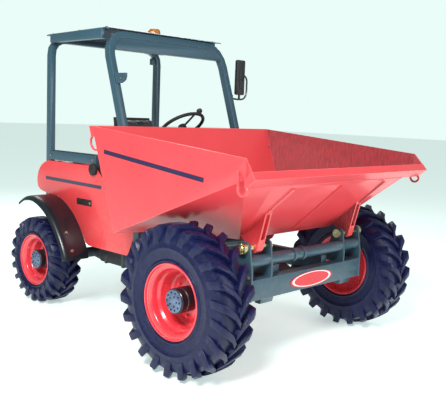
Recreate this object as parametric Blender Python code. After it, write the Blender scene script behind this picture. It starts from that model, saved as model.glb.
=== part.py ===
"""Site dumper with a forward-tipping skip, rear-wheel steering and a four-post canopy.

Units are metres, +Z is up, the machine drives towards -Y and its left side is +X.
The floor is Z = 0 and the plan centre of the machine is X = Y = 0.
"""
import math

import bmesh
import bpy
from mathutils import Matrix, Vector

# ---------------------------------------------------------------- driving dimensions
FRONT_AXLE_Y = -0.895
WHEELBASE = 2.02
FRONT_TYRE_R, FRONT_TYRE_W, FRONT_TRACK = 0.4825, 0.28, 1.81
REAR_TYRE_R, REAR_TYRE_W, REAR_TRACK = 0.360, 0.25, 1.27
FRONT_RIM_R, REAR_RIM_R = 0.240, 0.2125
KINGPIN_X = 0.42
RAIL_IN, RAIL_OUT, RAIL_LOW, RAIL_TOP = 0.24, 0.30, 0.537, 0.654
TIP_U, TIP_Z, TIP_PIN_R = -0.22, 0.805, 0.020
RAM_BASE = (0.85, 0.585)
RAM_EYE = (0.15, 0.765)
SKIP_WALL = 0.006
PANEL_X = 0.600
POST_X, POST_W = 0.573, 0.050
FRONT_POST_X, FRONT_POST_D, REAR_POST_D, REAR_POST_U = 0.603, 0.060, 0.060, 2.050
DRIVER_X = 0.080
DECK_Z, HOOD_Z = 1.100, 1.190
WHEEL_CENTRE = (1.14, 1.52)
COLUMN_TILT = math.radians(55.0)
GAP = 0.0003


def back(distance):
    """Y of a place this far behind the front axle."""
    return FRONT_AXLE_Y + distance


# ---------------------------------------------------------------- materials
def paint(name, rgb, metallic=0.0, rough=0.5):
    mat = bpy.data.materials.new(name)
    mat.use_nodes = True
    shader = mat.node_tree.nodes["Principled BSDF"]
    shader.inputs["Base Color"].default_value = (*rgb, 1.0)
    shader.inputs["Metallic"].default_value = metallic
    shader.inputs["Roughness"].default_value = rough
    return mat


# ---------------------------------------------------------------- modelling helpers
def add(name, bm, mat=None):
    """Turns a closed bmesh into an object in the scene."""
    bmesh.ops.recalc_face_normals(bm, faces=bm.faces)
    mesh = bpy.data.meshes.new(name)
    bm.to_mesh(mesh)
    bm.free()
    mesh.shade_smooth()
    mesh.set_sharp_from_angle(angle=math.radians(35))
    obj = bpy.data.objects.new(name, mesh)
    bpy.context.scene.collection.objects.link(obj)
    if mat:
        mesh.materials.append(mat)
    return obj


def box(name, x0, x1, u0, u1, z0, z1, mat=None):
    bm = bmesh.new()
    bmesh.ops.create_cube(bm, size=1.0)
    size = Vector((x1 - x0, u1 - u0, z1 - z0))
    centre = Vector(((x0 + x1) / 2, back((u0 + u1) / 2), (z0 + z1) / 2))
    bmesh.ops.transform(bm, verts=bm.verts, matrix=Matrix.Translation(centre) @ Matrix.Diagonal((*size, 1.0)))
    return add(name, bm, mat)


def slab(name, outline, x0, x1, mat=None):
    """A side profile, given as (distance behind the front axle, height), made thick across the machine."""
    bm = bmesh.new()
    face = bm.faces.new([bm.verts.new((x0, back(u), z)) for u, z in outline])
    grown = bmesh.ops.extrude_face_region(bm, geom=[face])["geom"]
    bmesh.ops.translate(bm, verts=[v for v in grown if isinstance(v, bmesh.types.BMVert)], vec=(x1 - x0, 0, 0))
    return add(name, bm, mat)


def rod(name, start, end, radius, mat=None, sides=24, tip=None):
    """A round bar, or a cone when the tip radius is given, between two world points."""
    start, end = Vector(start), Vector(end)
    bm = bmesh.new()
    bmesh.ops.create_cone(bm, cap_ends=True, segments=sides, radius1=radius,
                          radius2=radius if tip is None else tip, depth=(end - start).length)
    turn = (end - start).to_track_quat("Z", "Y").to_matrix().to_4x4()
    bmesh.ops.transform(bm, verts=bm.verts, matrix=Matrix.Translation((start + end) / 2) @ turn)
    return add(name, bm, mat)


def turned(name, profile, centre, outward, mat=None, sides=48):
    """A ring or disc turned about the X axis; the profile is (radius, distance outboard of the centre)."""
    bm = bmesh.new()
    verts = [bm.verts.new((x * outward, 0, r)) for r, x in profile]
    edges = [bm.edges.new((a, b)) for a, b in zip(verts, verts[1:])]
    if profile[0][0] > 0 or profile[-1][0] > 0:
        edges.append(bm.edges.new((verts[-1], verts[0])))
    bmesh.ops.spin(bm, geom=verts + edges, cent=(0, 0, 0), axis=(1, 0, 0), dvec=(0, 0, 0),
                   angle=math.tau, steps=sides, use_merge=True)
    bmesh.ops.remove_doubles(bm, verts=bm.verts, dist=0.00001)
    bmesh.ops.translate(bm, verts=bm.verts, vec=Vector(centre))
    return add(name, bm, mat)


def swept(name, path, width, depth, mat=None, sides=4):
    """A square or round tube along a path of world points, mitred at every bend."""
    grow = math.sqrt(0.5) if sides == 4 else 0.5
    turns = [math.tau * (k + 0.5) / sides for k in range(sides)]
    section = [(math.cos(a) * grow * width, math.sin(a) * grow * depth) for a in turns]
    points = [Vector(p) for p in path]
    runs = [(b - a).normalized() for a, b in zip(points, points[1:])]
    side = Vector((1, 0, 0))
    side = (side - side.dot(runs[0]) * runs[0]).normalized()
    deep = runs[0].cross(side)
    bm = bmesh.new()
    rings = []
    for i, point in enumerate(points):
        run = runs[max(i - 1, 0)]
        after = runs[min(i, len(runs) - 1)]
        plane = (run + after).normalized()
        ring = []
        for a, b in section:
            corner = side * a + deep * b
            corner -= run * (corner.dot(plane) / run.dot(plane))
            ring.append(bm.verts.new(point + corner))
        rings.append(ring)
        turn = run.rotation_difference(after)
        side, deep = turn @ side, turn @ deep
    for low, high in zip(rings, rings[1:]):
        for k in range(sides):
            bm.faces.new((low[k], low[(k + 1) % sides], high[(k + 1) % sides], high[k]))
    bm.faces.new(rings[0])
    bm.faces.new(rings[-1])
    return add(name, bm, mat)


def combine(obj, others, operation):
    for other in others:
        other.hide_render = True
        other.display_type = "WIRE"
        step = obj.modifiers.new(operation.title(), "BOOLEAN")
        step.operation = operation
        step.solver = "EXACT"
        step.object = other
    return obj


def weld(obj, *others):
    return combine(obj, others, "UNION")


def cut(obj, *others):
    return combine(obj, others, "DIFFERENCE")


def soften(obj, width, steps=2):
    """Rounds the edges of a plain block."""
    bevel = obj.modifiers.new("Bevel", "BEVEL")
    bevel.width = width
    bevel.segments = steps
    bevel.limit_method = "ANGLE"
    return obj


def hang_on(obj, place):
    """Moves the object's origin onto its joint axis without moving its shape."""
    place = Vector(place)
    obj.data.transform(Matrix.Translation(-place))
    obj.location = place
    return obj


def cross_pin(name, u, z, x0, x1, radius, mat=None, sides=24):
    return rod(name, (x0, back(u), z), (x1, back(u), z), radius, mat, sides)


# ---------------------------------------------------------------- chassis
def chassis(mat):
    frame = box("chassis_rails", RAIL_IN, RAIL_OUT, -0.20 + GAP, 2.16, RAIL_LOW, RAIL_TOP, mat)
    parts = [box("rail_far", -RAIL_OUT, -RAIL_IN, -0.20 + GAP, 2.16, RAIL_LOW, RAIL_TOP)]
    for u0, u1, z0, z1 in ((0.30, 0.36, 0.56, 0.63), (0.91, 0.97, 0.545, 0.645), (1.46, 1.52, 0.545, 0.64),
                           (1.94, 2.10, 0.56, 0.63)):
        parts.append(box("cross_member", -RAIL_IN - 0.02, RAIL_IN + 0.02, u0, u1, z0, z1))
    parts.append(box("rear_plate", -0.37, 0.37, 2.145, 2.165, 0.50, 0.80))
    parts.append(box("rear_post_beam", -0.598, 0.598, 2.005, 2.095, 0.80, 0.86))
    for s in (-1, 1):
        lo, hi = sorted((s * (RAIL_IN + 0.001), s * (RAIL_OUT - 0.001)))
        parts.append(box("riser", lo, hi, 2.015, 2.085, 0.64, 0.82))
        parts.append(box("skip_rest", lo, hi, 0.60, 0.67, 0.64, 0.775))
        lo, hi = sorted((s * (RAIL_OUT - 0.01), s * 0.628))
        parts.append(box("outrigger", lo, hi, 0.775, 0.865, 0.56, 0.64))
        lo, hi = sorted((s * 0.045, s * 0.057))
        parts.append(slab("ram_ear", [(0.92, 0.55), (0.85, 0.553), (0.825, 0.585), (0.85, 0.617), (0.92, 0.64)],
                          lo, hi))
    parts.append(cross_pin("ram_base_pin", *RAM_BASE, -0.060, 0.060, 0.015))
    parts.append(box("axle_hanger", -0.05, 0.05, 1.95, 2.09, 0.475, 0.57))
    return weld(frame, *parts)


def front_frame(mat):
    outline = [(-0.285, 0.475), (-0.200, 0.475), (-0.200, 0.487), (-0.273, 0.487), (-0.273, 0.593),
               (-0.200, 0.593), (-0.200, 0.605), (-0.285, 0.605)]
    beam = slab("front_frame", outline, -0.611, 0.611, mat)
    around = [(TIP_U + 0.045 * math.cos(a), TIP_Z + 0.045 * math.sin(a))
              for a in (math.radians(d) for d in (165, 140, 115, 90, 65, 40, 15))]
    parts = []
    for s in (-1, 1):
        lo, hi = sorted((s * 0.600, s * 0.612))
        parts.append(slab("outer_ear", [(-0.288, 0.472), (-0.288, 0.66)] + around + [(-0.085, 0.62), (-0.085, 0.472)],
                          lo, hi))
        lo, hi = sorted((s * 0.400, s * 0.412))
        parts.append(slab("inner_ear", [(-0.280, 0.600), (-0.280, 0.68)] + around + [(-0.110, 0.62), (-0.110, 0.600)],
                          lo, hi))
        lo, hi = sorted((s * 0.400, s * 0.600))
        parts.append(box("ear_floor", lo, hi, -0.201, -0.111, 0.594, 0.604))
        lo, hi = sorted((s * 0.38, s * 0.50))
        parts.append(slab("tow_bracket", [(-0.283, 0.480), (-0.225, 0.480), (-0.225, 0.440), (-0.270, 0.440)],
                          lo, hi))
    parts.append(cross_pin("torque_tube", -0.235, 0.715, -0.603, 0.603, 0.038))
    parts.append(cross_pin("tube_collar", -0.235, 0.715, -0.165, -0.145, 0.048))
    parts.append(cross_pin("tube_collar", -0.235, 0.715, -0.065, -0.045, 0.048))
    weld(beam, *parts)
    return cut(beam, cross_pin("pin_bore", TIP_U, TIP_Z, -0.70, 0.70, TIP_PIN_R + 0.0005))


def badge(mat):
    bm = bmesh.new()
    bmesh.ops.create_cone(bm, cap_ends=True, segments=40, radius1=1.0, radius2=1.0, depth=1.0)
    place = Matrix.Translation((0.018, back(-0.2853 - 0.002), 0.537)) @ Matrix.Rotation(math.pi / 2, 4, "X")
    bmesh.ops.transform(bm, verts=bm.verts, matrix=place @ Matrix.Diagonal((0.235, 0.053, 0.004, 1.0)))
    return add("badge_plate", bm, mat)


def tip_pin(side, name, mat):
    pin = cross_pin(name, TIP_U, TIP_Z, side * 0.380, side * 0.618, TIP_PIN_R, mat)
    return weld(pin, cross_pin("pin_head", TIP_U, TIP_Z, side * (0.612 + GAP), side * 0.650, 0.036),
                cross_pin("pin_clip", TIP_U, TIP_Z, side * 0.376, side * (0.400 - GAP), 0.030))


# ---------------------------------------------------------------- axles and wheels
def front_axle(mat):
    z, end = FRONT_TYRE_R, FRONT_TRACK / 2 - 0.0903
    axle = cross_pin("front_axle", 0, z, -end + 0.005, end - 0.005, 0.050, mat, 32)
    parts = [turned("diff", [(0, -0.15), (0.06, -0.14), (0.115, -0.05), (0.115, 0.05), (0.06, 0.14), (0, 0.15)],
                    (0, back(0), z), 1, None, 28),
             rod("pinion", (0, back(0.05), z), (0, back(0.17), z), 0.054, None, 22)]
    for s in (-1, 1):
        lo, hi = sorted((s * 0.225, s * 0.315))
        parts.append(box("pad", lo, hi, -0.06, 0.06, 0.49, RAIL_LOW - GAP))
        parts.append(cross_pin("flange", 0, z, s * (end - 0.06), s * end, 0.085, None, 36))
    return weld(axle, *parts)


def rear_axle(mat):
    z = REAR_TYRE_R
    axle = cross_pin("rear_axle", WHEELBASE, z, -0.350, 0.350, 0.045, mat, 32)
    parts = [turned("diff", [(0, -0.13), (0.05, -0.12), (0.095, -0.04), (0.095, 0.04), (0.05, 0.12), (0, 0.13)],
                    (0, back(WHEELBASE), z), 1, None, 28),
             rod("pinion", (0, back(WHEELBASE - 0.14), z), (0, back(WHEELBASE - 0.04), z), 0.049, None, 22),
             box("pivot", -0.045, 0.045, WHEELBASE - 0.06, WHEELBASE + 0.06, z + 0.05, 0.475 - GAP)]
    for s in (-1, 1):
        lo, hi = sorted((s * 0.340, s * 0.356))
        parts.append(box("yoke_back", lo, hi, WHEELBASE - 0.045, WHEELBASE + 0.045, z - 0.097, z + 0.097))
        lo, hi = sorted((s * 0.350, s * (KINGPIN_X + 0.035)))
        for low, high in ((z - 0.095, z - 0.081), (z + 0.081, z + 0.095)):
            parts.append(box("yoke_arm", lo, hi, WHEELBASE - 0.035, WHEELBASE + 0.035, low, high))
        parts.append(rod("kingpin", (s * KINGPIN_X, back(WHEELBASE), z - 0.09),
                         (s * KINGPIN_X, back(WHEELBASE), z + 0.09), 0.0135))
    return weld(axle, *parts)


def knuckle(side, name, mat):
    z, y = REAR_TYRE_R, back(WHEELBASE)
    x = side * KINGPIN_X
    body = rod(name, (x, y, z - 0.075), (x, y, z + 0.075), 0.036, mat)
    arm = slab("arm", [(WHEELBASE, z - 0.012), (WHEELBASE + 0.145, z - 0.012), (WHEELBASE + 0.145, z + 0.012),
                       (WHEELBASE, z + 0.012)], *sorted((side * (KINGPIN_X - 0.03), side * KINGPIN_X)))
    weld(body, rod("spindle", (x, y, z), (side * (REAR_TRACK / 2 - 0.0903), y, z), 0.034),
         cross_pin("flange", WHEELBASE, z, side * (REAR_TRACK / 2 - 0.115), side * (REAR_TRACK / 2 - 0.0903), 0.062),
         arm)
    cut(body, rod("bore", (x, y, z - 0.1), (x, y, z + 0.1), 0.0145))
    return hang_on(body, (x, y, z))


def tie_rod(mat):
    z = REAR_TYRE_R - 0.032
    bar = cross_pin("tie_rod", WHEELBASE + 0.128, z, -0.415, 0.415, 0.013, mat, 16)
    return hang_on(bar, (0, back(WHEELBASE + 0.128), z))


def wheel(tag, side, front, mats):
    """Tyre and rim with its hub, turning about the same axle line."""
    radius = FRONT_TYRE_R if front else REAR_TYRE_R
    flange = FRONT_RIM_R if front else REAR_RIM_R
    half = (FRONT_TYRE_W if front else REAR_TYRE_W) / 2
    place = (side * (FRONT_TRACK if front else REAR_TRACK) / 2, back(0 if front else WHEELBASE), radius)
    well, bead = flange - 0.022, half - 0.030
    crown = [(well + 0.0003, bead), (flange + 0.0015, bead), (flange + 0.0015, bead + 0.018),
             (flange + 0.62 * (radius - flange), half), (radius - 0.030, half - 0.014), (radius, half - 0.055)]
    tyre = turned("tyre_" + tag, crown + [(r, -x) for r, x in reversed(crown)], place, side, mats["tyre"], 48)
    inner = well - 0.009
    rim = turned("rim_" + tag, [
        (flange, bead + 0.015), (flange, bead + 0.007), (well, bead + 0.002), (well, -bead - 0.002),
        (flange, -bead - 0.007), (flange, -bead - 0.015), (inner, -bead - 0.008), (inner, -0.038),
        (inner * 0.86, -0.044), (inner * 0.62, -0.016), (0.0783, -0.016), (0.0783, -0.004),
        (inner * 0.64, -0.004), (inner * 0.88, -0.030), (inner, -0.026), (inner, bead + 0.008)],
        place, side, mats["rim"], 48)
    weld(rim, turned("hub", [(0, -0.09), (0.080, -0.09), (0.080, 0.088), (0.072, 0.098), (0, 0.098)], place, side,
                     mats["hub"], 26))
    for obj in (tyre, rim):
        hang_on(obj, place)


# ---------------------------------------------------------------- skip and its ram
def skip(mat):
    """Pressed tub: sloping front panel, chamfered lower sides, raked back wall, folded rim and lip."""
    rear_top, front_top = Vector((0.930, 0.958, 1.515)), Vector((0.940, -0.495, 1.393))
    crease = Vector((0.940, -0.500, 1.277)), Vector((0.925, 0.702, 0.800))
    floor = Vector((0.500, -0.070, 0.830)), Vector((0.500, 0.700, 0.784))
    panel_top = Vector((0.720, -0.522, 1.227))
    strips = 6
    bm = bmesh.new()
    sides = []
    for s in (1, -1):
        upper, lower = ([bm.verts.new((s * p.x, back(p.y), p.z)) for p in
                         (a.lerp(b, k / strips) for k in range(strips + 1))] for a, b in (crease, floor))
        a, f, e = (bm.verts.new((s * p.x, back(p.y), p.z)) for p in (rear_top, front_top, panel_top))
        bm.faces.new([a, f] + upper)
        bm.faces.new((upper[0], e, lower[0]))
        for k in range(strips):
            bm.faces.new((upper[k], lower[k], upper[k + 1]))
            bm.faces.new((lower[k], lower[k + 1], upper[k + 1]))
        sides.append((a, e, upper, lower))
    (a0, e0, up0, low0), (a1, e1, up1, low1) = sides
    bm.faces.new((e0, low0[0], low1[0], e1))
    bm.faces.new(low0 + low1[::-1])
    bm.faces.new((a0, up0[-1], low0[-1], low1[-1], up1[-1], a1))
    tub = add("skip_tub", bm, mat)
    shell = tub.modifiers.new("Wall", "SOLIDIFY")
    shell.thickness = SKIP_WALL
    shell.offset = 0.0
    shell.use_even_offset = True

    slope = Vector((0.452, -0.397)).normalized()
    outward = Vector((slope.y, -slope.x))
    top = Vector((-0.522, 1.227))
    parts = [slab("rear_rim", [(0.956, 1.515), (1.000, 1.515), (0.974, 1.442), (0.930, 1.442)], -0.932, 0.932),
             slab("lip", [(-0.590, 1.280), (-0.535, 1.236), (-0.518, 1.224), (-0.505, 1.262), (-0.556, 1.322)],
                  -0.962, 0.962)]
    for s in (-1, 1):
        cheek = bmesh.new()
        rows = [(0.940, -0.495, 1.3935), (0.962, -0.590, 1.280), (0.960, -0.535, 1.236), (0.940, -0.498, 1.262)]
        inner = [cheek.verts.new((s * (x - 0.004), back(u), z)) for x, u, z in rows]
        outer = [cheek.verts.new((s * (x + 0.004), back(u), z)) for x, u, z in rows]
        cheek.faces.new(inner)
        cheek.faces.new(outer)
        for k in range(4):
            cheek.faces.new((inner[k], inner[(k + 1) % 4], outer[(k + 1) % 4], outer[k]))
        parts.append(add("cheek", cheek))
    for x in (-0.516, 0.0, 0.516):
        a, b = top + slope * 0.03, top + slope * 0.54
        rib = [a - outward * 0.001, a + outward * 0.014, b + outward * 0.014, b - outward * 0.001]
        parts.append(slab("rib", [tuple(p) for p in rib], x - 0.013, x + 0.013))
    hook = [(TIP_U + 0.038 * math.cos(a), TIP_Z + 0.038 * math.sin(a))
            for a in (math.radians(d) for d in (180, 210, 240, 270, 300, 330, 0))]
    at = [top + slope * t - outward * 0.001 for t in (0.27, 0.55)]
    channels = []
    for s in (-1, 1):
        lo, hi = sorted((s * 0.475, s * 0.535))
        parts.append(slab("lug", [tuple(at[0])] + hook + [tuple(at[1])], lo, hi))
        lo, hi = sorted((s * 0.487, s * 0.523))
        channels.append(slab("channel", [(-0.288, 1.012), (-0.360, 1.045), (-0.360, 0.855), (-0.236, 0.855)], lo, hi))
        lo, hi = sorted((s * 0.046, s * 0.058))
        parts.append(slab("ram_bracket", [(0.07, 0.822), (0.11, 0.755), (0.15, 0.728), (0.19, 0.755),
                                          (0.23, 0.812)], lo, hi))
    weld(tub, *parts)
    cut(tub, cross_pin("pin_bore", TIP_U, TIP_Z, -0.70, 0.70, TIP_PIN_R + 0.0005), *channels)
    return hang_on(tub, (0, back(TIP_U), TIP_Z))


def ram(paint_mat, chrome):
    base = Vector((0, back(RAM_BASE[0]), RAM_BASE[1]))
    eye = Vector((0, back(RAM_EYE[0]), RAM_EYE[1]))
    along = (eye - base).normalized()
    barrel = rod("ram_barrel", base + along * 0.020, base + along * 0.570, 0.038, paint_mat, 28)
    weld(barrel, cross_pin("base_eye", *RAM_BASE, -0.036, 0.036, 0.030),
         rod("gland", base + along * 0.545, base + along * 0.585, 0.043, None, 28))
    cut(barrel, cross_pin("base_bore", *RAM_BASE, -0.05, 0.05, 0.0155),
        rod("bore", base + along * 0.060, base + along * 0.60, 0.0225, None, 24))
    hang_on(barrel, base)
    plunger = rod("ram_rod", base + along * 0.070, eye - along * 0.015, 0.0215, chrome, 24)
    weld(plunger, cross_pin("rod_eye", *RAM_EYE, -0.036, 0.036, 0.030),
         cross_pin("rod_pin", *RAM_EYE, -0.040, 0.040, 0.014))
    hang_on(plunger, eye)


# ---------------------------------------------------------------- body
def wheel_arch():
    """Mudguard line over a rear wheel, from its rear tip forwards and down."""
    offsets = [(0.120, 0.492), (0.040, 0.535), (-0.040, 0.550), (-0.135, 0.543), (-0.255, 0.498), (-0.370, 0.418),
               (-0.460, 0.320), (-0.533, 0.215), (-0.570, 0.140), (-0.582, 0.096)]
    return [(WHEELBASE + u, REAR_TYRE_R + z) for u, z in offsets]


def inside_arch(depth):
    """The arch line moved towards the wheel's centre."""
    hub = Vector((WHEELBASE, REAR_TYRE_R))
    moved = [Vector(p) - (Vector(p) - hub).normalized() * depth for p in wheel_arch()]
    return [(p.x, p.y) for p in moved]


def mudguard(side, name, mat):
    line = wheel_arch()
    lo, hi = sorted((side * (PANEL_X + 0.005 + GAP), side * 0.828))
    guard = slab(name, line + inside_arch(0.006)[::-1], lo, hi, mat)
    lo, hi = sorted((side * 0.820, side * 0.8279))
    return weld(guard, slab("lip", inside_arch(0.004) + inside_arch(0.036)[::-1], lo, hi))


TAIL = [(2.050, HOOD_Z - 0.004), (2.095, 1.172), (2.135, 1.149), (2.166, 1.122), (2.190, 1.085), (2.205, 1.040),
        (2.205, 0.990), (2.188, 0.952), (2.150, 0.930)]


def side_panel(side, name, mat):
    outline = [(2.000, HOOD_Z), (1.400, HOOD_Z), (1.350, 1.170), (0.885, 0.755), (0.875, 0.720), (0.955, 0.556),
               (1.440, 0.556), (1.466, 0.566)]
    outline += wheel_arch()[7:1:-1] + [(2.040, 0.912), (2.094, 0.920)] + TAIL[::-1]
    lo, hi = sorted((side * PANEL_X, side * (PANEL_X + 0.005)))
    return slab(name, outline, lo, hi, mat)


def engine_cover(mat):
    """Bent sheet between the side panels: front bulkhead, seat deck, hood top and rounded tail."""
    outer = [(1.300, 0.6610), (1.300, DECK_Z), (1.760, DECK_Z), (1.780, HOOD_Z), (2.000, HOOD_Z)] + TAIL
    inner = [(1.305, 0.6610), (1.305, DECK_Z - 0.005), (1.764, DECK_Z - 0.005), (1.784, HOOD_Z - 0.005),
             (1.999, HOOD_Z - 0.005)]
    inner += [(u - 0.005 * math.cos(a), z - 0.005 * math.sin(a)) for (u, z), a in
              zip(TAIL, (math.radians(d) for d in (76, 65, 55, 45, 30, 12, -12, -40, -65)))]
    edge = PANEL_X - GAP
    cover = slab("engine_cover", outer + inner[::-1], -edge, edge, mat)
    slots = []
    for s in (-1, 1):
        lo, hi = sorted((s * (POST_X - POST_W / 2 - GAP), s * 0.62))
        slots.append(box("post_slot", lo, hi, REAR_POST_U - REAR_POST_D / 2 - GAP,
                         REAR_POST_U + REAR_POST_D / 2 + GAP, 1.0, 1.3))
    return cut(cover, *slots)


def floor_plate(mat):
    top = RAIL_TOP + GAP
    outline = [(0.930, top), (1.2997, top), (1.2997, top + 0.006), (0.932, top + 0.006), (0.812, top + 0.100),
               (0.808, top + 0.096)]
    return slab("floor_plate", outline, -0.535, 0.535, mat)


def console(mat):
    outline = [(0.960, 0.6606), (1.110, 0.6606), (1.120, 1.120), (1.060, 1.195), (0.905, 1.195), (0.900, 1.160)]
    return soften(slab("console", outline, DRIVER_X - 0.165, DRIVER_X + 0.165, mat), 0.012)


def column_axis():
    return Vector((0, math.cos(COLUMN_TILT), math.sin(COLUMN_TILT)))


def steering(dark, black):
    centre = Vector((DRIVER_X, back(WHEEL_CENTRE[0]), WHEEL_CENTRE[1]))
    axis = column_axis()
    column = rod("steering_column", centre - axis * 0.46, centre - axis * 0.030, 0.048, dark, 28, 0.026)
    cut(column, box("console_top", -0.2, 0.4, 0.7, 1.2, 1.0, 1.195 + GAP))
    turn = axis.to_track_quat("Z", "Y").to_matrix().to_4x4()
    bm = bmesh.new()
    ring = [bm.verts.new((0.185 + 0.014 * math.cos(math.tau * k / 10), 0, 0.014 * math.sin(math.tau * k / 10)))
            for k in range(10)]
    edges = [bm.edges.new((ring[k], ring[(k + 1) % 10])) for k in range(10)]
    bmesh.ops.spin(bm, geom=ring + edges, cent=(0, 0, 0), axis=(0, 0, 1), dvec=(0, 0, 0), angle=math.tau, steps=40,
                   use_merge=True)
    bmesh.ops.transform(bm, verts=bm.verts, matrix=Matrix.Translation(centre) @ turn)
    rim = add("steering_wheel", bm, black)
    parts = [rod("boss", centre - axis * 0.0295, centre + axis * 0.012, 0.034)]
    for angle in (math.radians(a) for a in (90, 210, 330)):
        spoke = turn @ Vector((math.cos(angle) * 0.182, math.sin(angle) * 0.182, 0))
        parts.append(rod("spoke", centre - axis * 0.010, centre + spoke, 0.009, None, 12))
    knob = centre + turn.to_3x3() @ Vector((0.131, 0.131, 0.0))
    parts.append(rod("knob_stem", knob - axis * 0.004, knob + axis * 0.03, 0.008, None, 12))
    parts.append(rod("knob", knob + axis * 0.026, knob + axis * 0.062, 0.020, None, 16, 0.024))
    weld(rim, *parts)
    hang_on(rim, centre)


def seat(black):
    cushion = box("seat_cushion", DRIVER_X - 0.230, DRIVER_X + 0.230, 1.300, 1.740, DECK_Z + 0.034, 1.250, black)
    soften(cushion, 0.030, 3)
    weld(cushion, box("seat_base", DRIVER_X - 0.185, DRIVER_X + 0.185, 1.36, 1.70, DECK_Z + GAP, DECK_Z + 0.060))
    back_rest = slab("seat_back", [(1.660, 1.2503), (1.745, 1.2503), (1.800, 1.610), (1.730, 1.612)],
                     DRIVER_X - 0.225, DRIVER_X + 0.225,
                     black)
    soften(back_rest, 0.028, 3)


# ---------------------------------------------------------------- canopy
def front_hoop(mat):
    lean, knee_u, knee_z = 0.335, 0.832, 0.900
    side = [(-FRONT_POST_X, knee_u, 0.6403), (-FRONT_POST_X, knee_u, knee_z)]
    bend = [(-FRONT_POST_X, 2.030), (-0.592, 2.092), (-0.562, 2.145), (-0.515, 2.180), (-0.455, 2.193)]
    side += [(x, knee_u + lean * (z - knee_z), z) for x, z in bend]
    path = [(x, back(u), z) for x, u, z in side]
    path += [(-x, y, z) for x, y, z in path[::-1]]
    hoop = swept("front_hoop", path, POST_W, FRONT_POST_D, mat)
    grab = slab("mirror_mount", [(1.150, 1.822), (1.060, 1.830), (1.020, 1.850), (1.008, 1.880), (1.010, 1.903),
                                 (1.160, 1.903)], -0.610, -0.596)
    front = knee_u + lean * (2.193 - knee_z) - FRONT_POST_D / 2 * 0.948
    fascia = slab("fascia", [(front - 0.034, 2.085), (front + 0.010, 2.203), (front + 0.030, 2.198),
                             (front - 0.012, 2.080)], -0.560, 0.560)
    foot = [box("foot", *sorted((s * 0.545, s * 0.628)), 0.780, 0.865, 0.6403, 0.6523) for s in (-1, 1)]
    return weld(hoop, grab, fascia, *foot)


def rear_hoop(mat):
    side = [(-POST_X, 0.8603), (-POST_X, 2.060), (-0.565, 2.115), (-0.535, 2.160), (-0.490, 2.182), (-0.430, 2.1905)]
    path = [(x, back(REAR_POST_U), z) for x, z in side]
    path += [(-x, y, z) for x, y, z in path[::-1]]
    hoop = swept("rear_hoop", path, POST_W, REAR_POST_D, mat)
    parts = []
    for s in (-1, 1):
        lo, hi = sorted((s * (POST_X - POST_W / 2), s * (POST_X + POST_W / 2)))
        parts.append(box("waist_rail", lo, hi, 1.380, REAR_POST_U - 0.020, 1.200, 1.275))
        parts.append(box("waist_leg", lo, hi, 1.380, 1.430, DECK_Z + GAP, 1.210))
    return weld(hoop, *parts)


def roof(mat):
    sheet = slab("roof_panel", [(1.238, 2.2342), (1.262, 2.2400), (2.060, 2.2225), (2.085, 2.2160), (2.085, 2.2225),
                                (2.060, 2.2285), (1.262, 2.2465), (1.232, 2.2400)], -0.600, 0.600, mat)
    rails = []
    for s in (-1, 1):
        lo, hi = sorted((s * 0.560, s * 0.607))
        rails.append(slab("roof_rail", [(1.318, 2.165), (2.0195, 2.160), (2.0195, 2.2255), (1.318, 2.242)], lo, hi))
    return weld(sheet, *rails)


def beacon(black, amber):
    x, y, z = 0.105, back(1.55), 2.2418
    rod("beacon_base", (x, y, z), (x, y, z + 0.020), 0.060, black, 32)
    dome = rod("beacon_dome", (x, y, z + 0.0203), (x, y, z + 0.084), 0.055, amber, 32, 0.048)
    soften(dome, 0.012, 2)


def mirror(black):
    y = back(1.105)
    head = soften(box("mirror", 0.662, 0.766, 1.083, 1.127, 1.800, 2.105, black), 0.014, 2)
    loop = swept("loop", [(0.6325, y + 0.025, 1.775), (0.720, y, 1.765), (0.790, y, 1.790), (0.807, y, 1.850),
                          (0.807, y, 1.930), (0.752, y, 1.975)], 0.018, 0.018, None, 12)
    return weld(head, loop, rod("stem", (0.714, y, 1.765), (0.714, y, 1.820), 0.012, None, 14))


# ---------------------------------------------------------------- drive line and tanks
def drive_line(iron, black):
    soften(box("engine_block", -0.22, 0.22, 1.54, 1.96, RAIL_TOP + 0.010, 1.050, iron), 0.02)
    gearbox = soften(box("transmission", -0.17, 0.17, 1.16, 1.44, 0.450, 0.640, iron), 0.02)
    weld(gearbox, rod("front_shaft", (0, back(0.1725), FRONT_TYRE_R), (0, back(1.18), 0.500), 0.024, None, 20),
         rod("rear_shaft", (0, back(1.42), 0.490), (0, back(WHEELBASE - 0.1530), REAR_TYRE_R + 0.004), 0.024,
             None, 20))
    soften(box("fuel_tank", 0.3003, 0.530, 1.02, 1.40, 0.430, 0.620, black), 0.018)
    soften(box("oil_tank", -0.530, -0.3003, 1.02, 1.40, 0.430, 0.620, black), 0.018)


def controls(black):
    lever = rod("tip_lever", (0.290, back(1.255), 0.6640), (0.290, back(1.235), 1.230), 0.011, black, 12)
    weld(lever, rod("knob", (0.290, back(1.2355), 1.215), (0.290, back(1.234), 1.262), 0.020, None, 16),
         rod("boot", (0.290, back(1.255), 0.6609), (0.290, back(1.255), 0.700), 0.034, None, 16, 0.016))


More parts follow.
